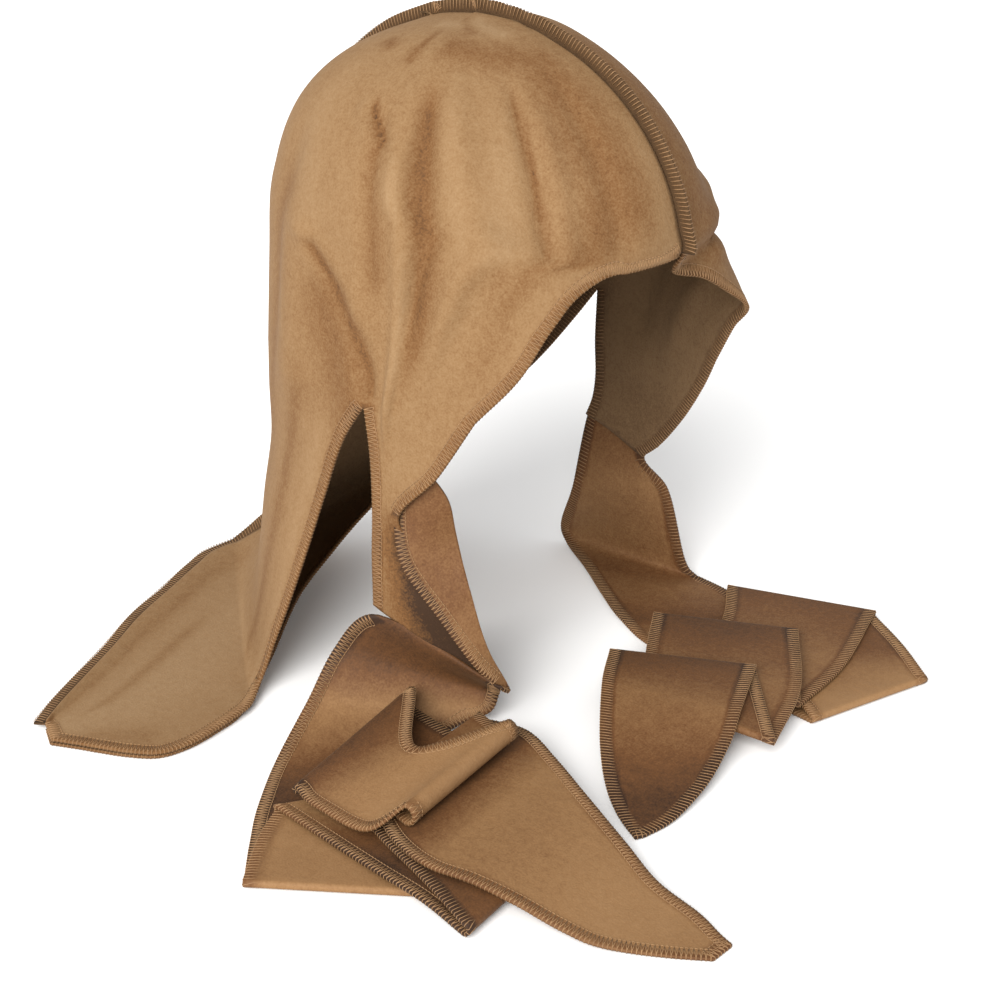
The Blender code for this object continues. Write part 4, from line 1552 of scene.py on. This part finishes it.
@dataclass
class Tie:
    """A long strap that hangs from its wing and lies folded on the surface.

    Bare gives the given sections of its left and right edge that another layer covers,
    where no thread is sewn.
    """

    name: str
    side: Side
    wing: Array
    seats: Sequence[Seat]
    hanging: Sequence[Hanging]
    lying: Sequence[Leg]
    flat: tuple[float, float]
    bare: tuple[tuple[int, int], tuple[int, int]]
    sizes: Sizes = SIZES
    seat_room: float = 1.4
    seat_tone: float = -0.4
    gaps: list[list[int]] = field(default_factory=list, init=False)

    def section(self, left: Array, right: Array) -> Array:
        """A straight section from one edge of the tie to the other."""
        shares = np.linspace(0.0, 1.0, TIE_COLUMNS + 1)[:, None]
        return left * (1.0 - shares) + right * shares

    def seated(self, seat: Seat) -> Array:
        """A section that lies against the wing.

        Args:
            seat: Where on the wing it lies.

        Returns:
            Its points from the left edge to the right.
        """
        places = np.linspace(seat.left, seat.right, TIE_COLUMNS + 1) * FRONT_COLUMNS
        room = self.seat_room * (self.sizes.cloth + self.sizes.gap)
        on_wing = between(places, np.arange(FRONT_COLUMNS + 1), self.wing[seat.course])
        return on_wing + np.array((room, 0.0, 0.0))

    def hung(self, row: Hanging) -> Array:
        """A section of the hanging part.

        Args:
            row: Its two ends.

        Returns:
            Its points from the left edge to the right.
        """
        s, hand = self.sizes, self.side.value

        def place(out: float, fore: float, drop: float) -> Array:
            """A point from the hood's own shares."""
            return np.array((hand * out * s.half_width, -fore * s.front_reach, -drop * s.wing_drop))
        return self.section(place(row.left_out, row.left_fore, row.left_drop),
                            place(row.right_out, row.right_fore, row.right_drop))

    def laid(self, row: Leg) -> Array:
        """A section of the part on the surface.

        Args:
            row: Its two ends.

        Returns:
            Its points from the left edge to the right.
        """
        s, hand = self.sizes, self.side.value
        floor = -s.stand_height + s.gap + s.cloth / 2.0

        def place(out: float, fore: float, level: float) -> Array:
            """A point from the tie's own shares."""
            return np.array((hand * (s.half_width + out * s.tie_width), -fore * s.tie_width,
                             floor + level * s.layer_rise))
        return self.section(place(row.left_out, row.left_fore, row.left_level),
                            place(row.right_out, row.right_fore, row.right_level))

    def hairpin(self, before: Array, line: Array, rise: float, left_rise: float | None) -> list[Array]:
        """Sections round a fold: half a circle that bulges past the fold line.

        Args:
            before: The section before the fold, which tells the way that the tie runs.
            line: The section at the fold.
            rise: How far up the fold leads, below zero down.
            left_rise: The same at the left edge, where it differs.

        Returns:
            The sections after the fold line.
        """
        rises = np.linspace(rise if left_rise is None else left_rise, rise, TIE_COLUMNS + 1)[:, None]
        forward = line.mean(axis=0) - before.mean(axis=0)
        fold = line[-1] - line[0]
        forward -= fold * forward.dot(fold) / fold.dot(fold)
        forward[2] = 0.0
        forward /= np.linalg.norm(forward)
        rows = []
        for step in range(1, FOLD_STEPS + 1):
            angle = math.pi * step / FOLD_STEPS
            shift = forward * np.abs(rises) / 2.0 * math.sin(angle)
            shift[:, 2:] = rises / 2.0 * (1.0 - math.cos(angle))
            rows.append(line + shift)
        return rows

    def grid(self) -> tuple[Array, Array]:
        """Lays the whole tie.

        Returns:
            Its fine rows and the tone of each.
        """
        rows, tones = [], []
        span = [self.seated(seat) for seat in self.seats] + [self.hung(row) for row in self.hanging]
        span_tones = [self.seat_tone] * len(self.seats) + [row.tone for row in self.hanging]
        for row in self.lying:
            line = self.laid(row)
            span.append(line)
            span_tones.append(row.tone)
            if row.rise or row is self.lying[-1]:
                fine, places = smooth_rows(span)
                if not rows:
                    self.gaps = np.searchsorted(places, np.array(self.bare)).tolist()
                rows.extend(fine if not rows else fine[1:])
                found = np.interp(places, np.arange(len(span)), span_tones)
                tones.extend(found if not tones else found[1:])
            if row.rise:
                layer = self.sizes.layer_rise
                left = None if row.left_rise is None else row.left_rise * layer
                turn = self.hairpin(span[-2], line, row.rise * layer, left)
                rows.extend(turn)
                tones.extend([row.tone] * len(turn))
                span, span_tones = [turn[-1]], [row.tone]
        return np.array(rows), np.array(tones)

    def build(self) -> list[bpy.types.Object]:
        """Builds the tie and its edging.

        Returns:
            The cloth and its thread.
        """
        s = self.sizes
        grid, tones = self.grid()
        grid[:, :, 2] = np.maximum(grid[:, :, 2], -s.stand_height + 0.5 * s.cloth)
        count, width = grid.shape[:2]
        numbers = numbered(0, count, width)
        points = grid.reshape(-1, 3)
        flip = self.side is Side.RIGHT
        made = mesh_object(self.name, points, grid_faces(numbers.tolist(), flip))
        normals = point_normals(made)
        edging = Overlock(f"{self.name}_overlock")
        surface = sheet_tree(made)
        deep = TIE_EDGE_POINTS
        edges = [numbers[::-1].T[:, :deep]]
        for edge, (start, end) in zip((numbers[:, :deep], numbers[:, ::-1][:, :deep]), self.gaps):
            edges.extend(run for run in (edge[:start], edge[end:]) if len(run) > 2)
        for lines in edges:
            edging.sew(points[lines], normals[lines], surface)
        thread = edging.build()
        set_tone(made, np.repeat(tones, width) - edge_painted_shade(points, edges))
        made.data.materials.append(finished(Finish.TIE))
        apply_wall(made, s.cloth, lining=False)
        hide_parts(self.name.replace("_cloth", ""))
        for piece in (made, thread):
            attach(piece, "root")
        LOG.info("%s: %d faces, edging %d faces", made.name, len(made.data.polygons),
                 len(thread.data.polygons))
        return [made, thread]


@dataclass
class Studio:
    """Pale floor, soft light and the camera, with angles in degrees."""

    distance: float = 0.880
    lateral: float = 0.009
    height: float = 0.176
    azimuth: float = -52.0
    pitch: float = 24.5
    lens: float = 75.1
    sensor: float = 36.0
    surroundings: float = 0.74
    sun_power: float = 3.8
    sun_spread: float = 40.0
    sun_tilt: float = 55.0
    sun_turn: float = -72.0
    daylight: Colour = (1.0, 0.99, 0.97)
    side_place: tuple[float, float, float] = (-2.0, -0.6, 0.5)
    side_size: float = 1.0
    side_power: float = 20.0
    aim: tuple[float, float, float] = (0.0, 0.0, -0.15)
    floor_size: float = 12.0
    floor_drop: float = 0.0002

    def floor(self) -> None:
        """Lays the floor under the lowest cloth."""
        bpy.ops.object.select_all(action="DESELECT")
        height = -SIZES.stand_height - self.floor_drop
        bpy.ops.mesh.primitive_plane_add(size=self.floor_size, location=(0.0, 0.0, height))
        floor = bpy.context.active_object
        floor.name = "floor"
        floor.data.materials.append(PaleFloor().material())

    def soft_box(self) -> None:
        """Adds the soft box beside the durag and turns it to face it."""
        data = bpy.data.lights.new("side", "AREA")
        data.shape = "SQUARE"
        data.size = self.side_size
        data.energy = self.side_power
        data.color = self.daylight
        made = bpy.data.objects.new("side", data)
        made.location = self.side_place
        aim = np.array(self.aim) - np.array(self.side_place)
        flat = math.hypot(aim[0], aim[1])
        made.rotation_euler = (math.pi / 2 + math.atan2(aim[2], flat), 0.0, math.atan2(-aim[0], aim[1]))
        bpy.context.scene.collection.objects.link(made)

    def lights(self) -> None:
        """Sets the even white surroundings, a broad sun and the soft box."""
        world = bpy.data.worlds.new("studio")
        world.use_nodes = True
        world.node_tree.nodes["Background"].inputs["Color"].default_value = (1.0, 1.0, 1.0, 1.0)
        world.node_tree.nodes["Background"].inputs["Strength"].default_value = self.surroundings
        bpy.context.scene.world = world
        bpy.context.scene.view_settings.view_transform = "Standard"
        data = bpy.data.lights.new("key", "SUN")
        data.energy = self.sun_power
        data.angle = math.radians(self.sun_spread)
        data.color = self.daylight
        key = bpy.data.objects.new("key", data)
        key.rotation_euler = (math.radians(self.sun_tilt), 0.0, math.radians(self.sun_turn))
        bpy.context.scene.collection.objects.link(key)
        self.soft_box()

    def camera(self) -> None:
        """Places the camera at the photograph's angle."""
        data = bpy.data.cameras.new("camera")
        data.lens = self.lens
        data.sensor_width = self.sensor
        data.clip_start = 0.01
        made = bpy.data.objects.new("camera", data)
        turn = math.radians(self.azimuth)
        made.location = (math.sin(turn) * self.distance + math.cos(turn) * self.lateral,
                         -math.cos(turn) * self.distance + math.sin(turn) * self.lateral, self.height)
        made.rotation_euler = (math.radians(90.0 - self.pitch), 0.0, turn)
        bpy.context.scene.collection.objects.link(made)
        bpy.context.scene.camera = made


def main() -> None:
    """Builds the durag and its setting in order."""
    logging.basicConfig(level=logging.INFO, format="%(message)s")
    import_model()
    studio = Studio()
    studio.camera()
    pattern = HoodPattern()
    right = Panel("panel_right_cloth", Side.RIGHT, FRONT_RIGHT, WING_RIGHT, CAPE_RIGHT, slit_fore=0.12,
                  folds=FOLDS_RIGHT, patches=PATCHES_RIGHT, flat=(0.26, 0.48), area=0.074,
                  wing_painted_shadow=-1.25, wing_sewn=0.46, pattern=pattern)
    left = Panel("panel_left_cloth", Side.LEFT, FRONT_LEFT, WING_LEFT, CAPE_LEFT, slit_fore=0.0,
                 folds=FOLDS_LEFT, patches=PATCHES_LEFT, flat=(0.26, 0.48), area=0.076,
                 wing_painted_shadow=-0.2, wing_sewn=1.0, pattern=pattern)
    right.build()
    left.build()
    SeamBand("centre_seam_band", right.seam).build()
    right_tie = Tie("tie_right_cloth", Side.RIGHT, right.sewn_wing(), SEAT_RIGHT, HANGING_RIGHT,
                    LYING_RIGHT, flat=(SIZES.tie_width, 0.72), bare=((5, 6), (0, 5)))
    left_tie = Tie("tie_left_cloth", Side.LEFT, left.sewn_wing(), SEAT_LEFT, HANGING_LEFT,
                   LYING_LEFT, flat=(SIZES.tie_width, 0.64), bare=((0, 0), (0, 0)))
    right_tie.build()
    left_tie.build()
    studio.floor()
    studio.lights()


if __name__ == "__main__":
    main()
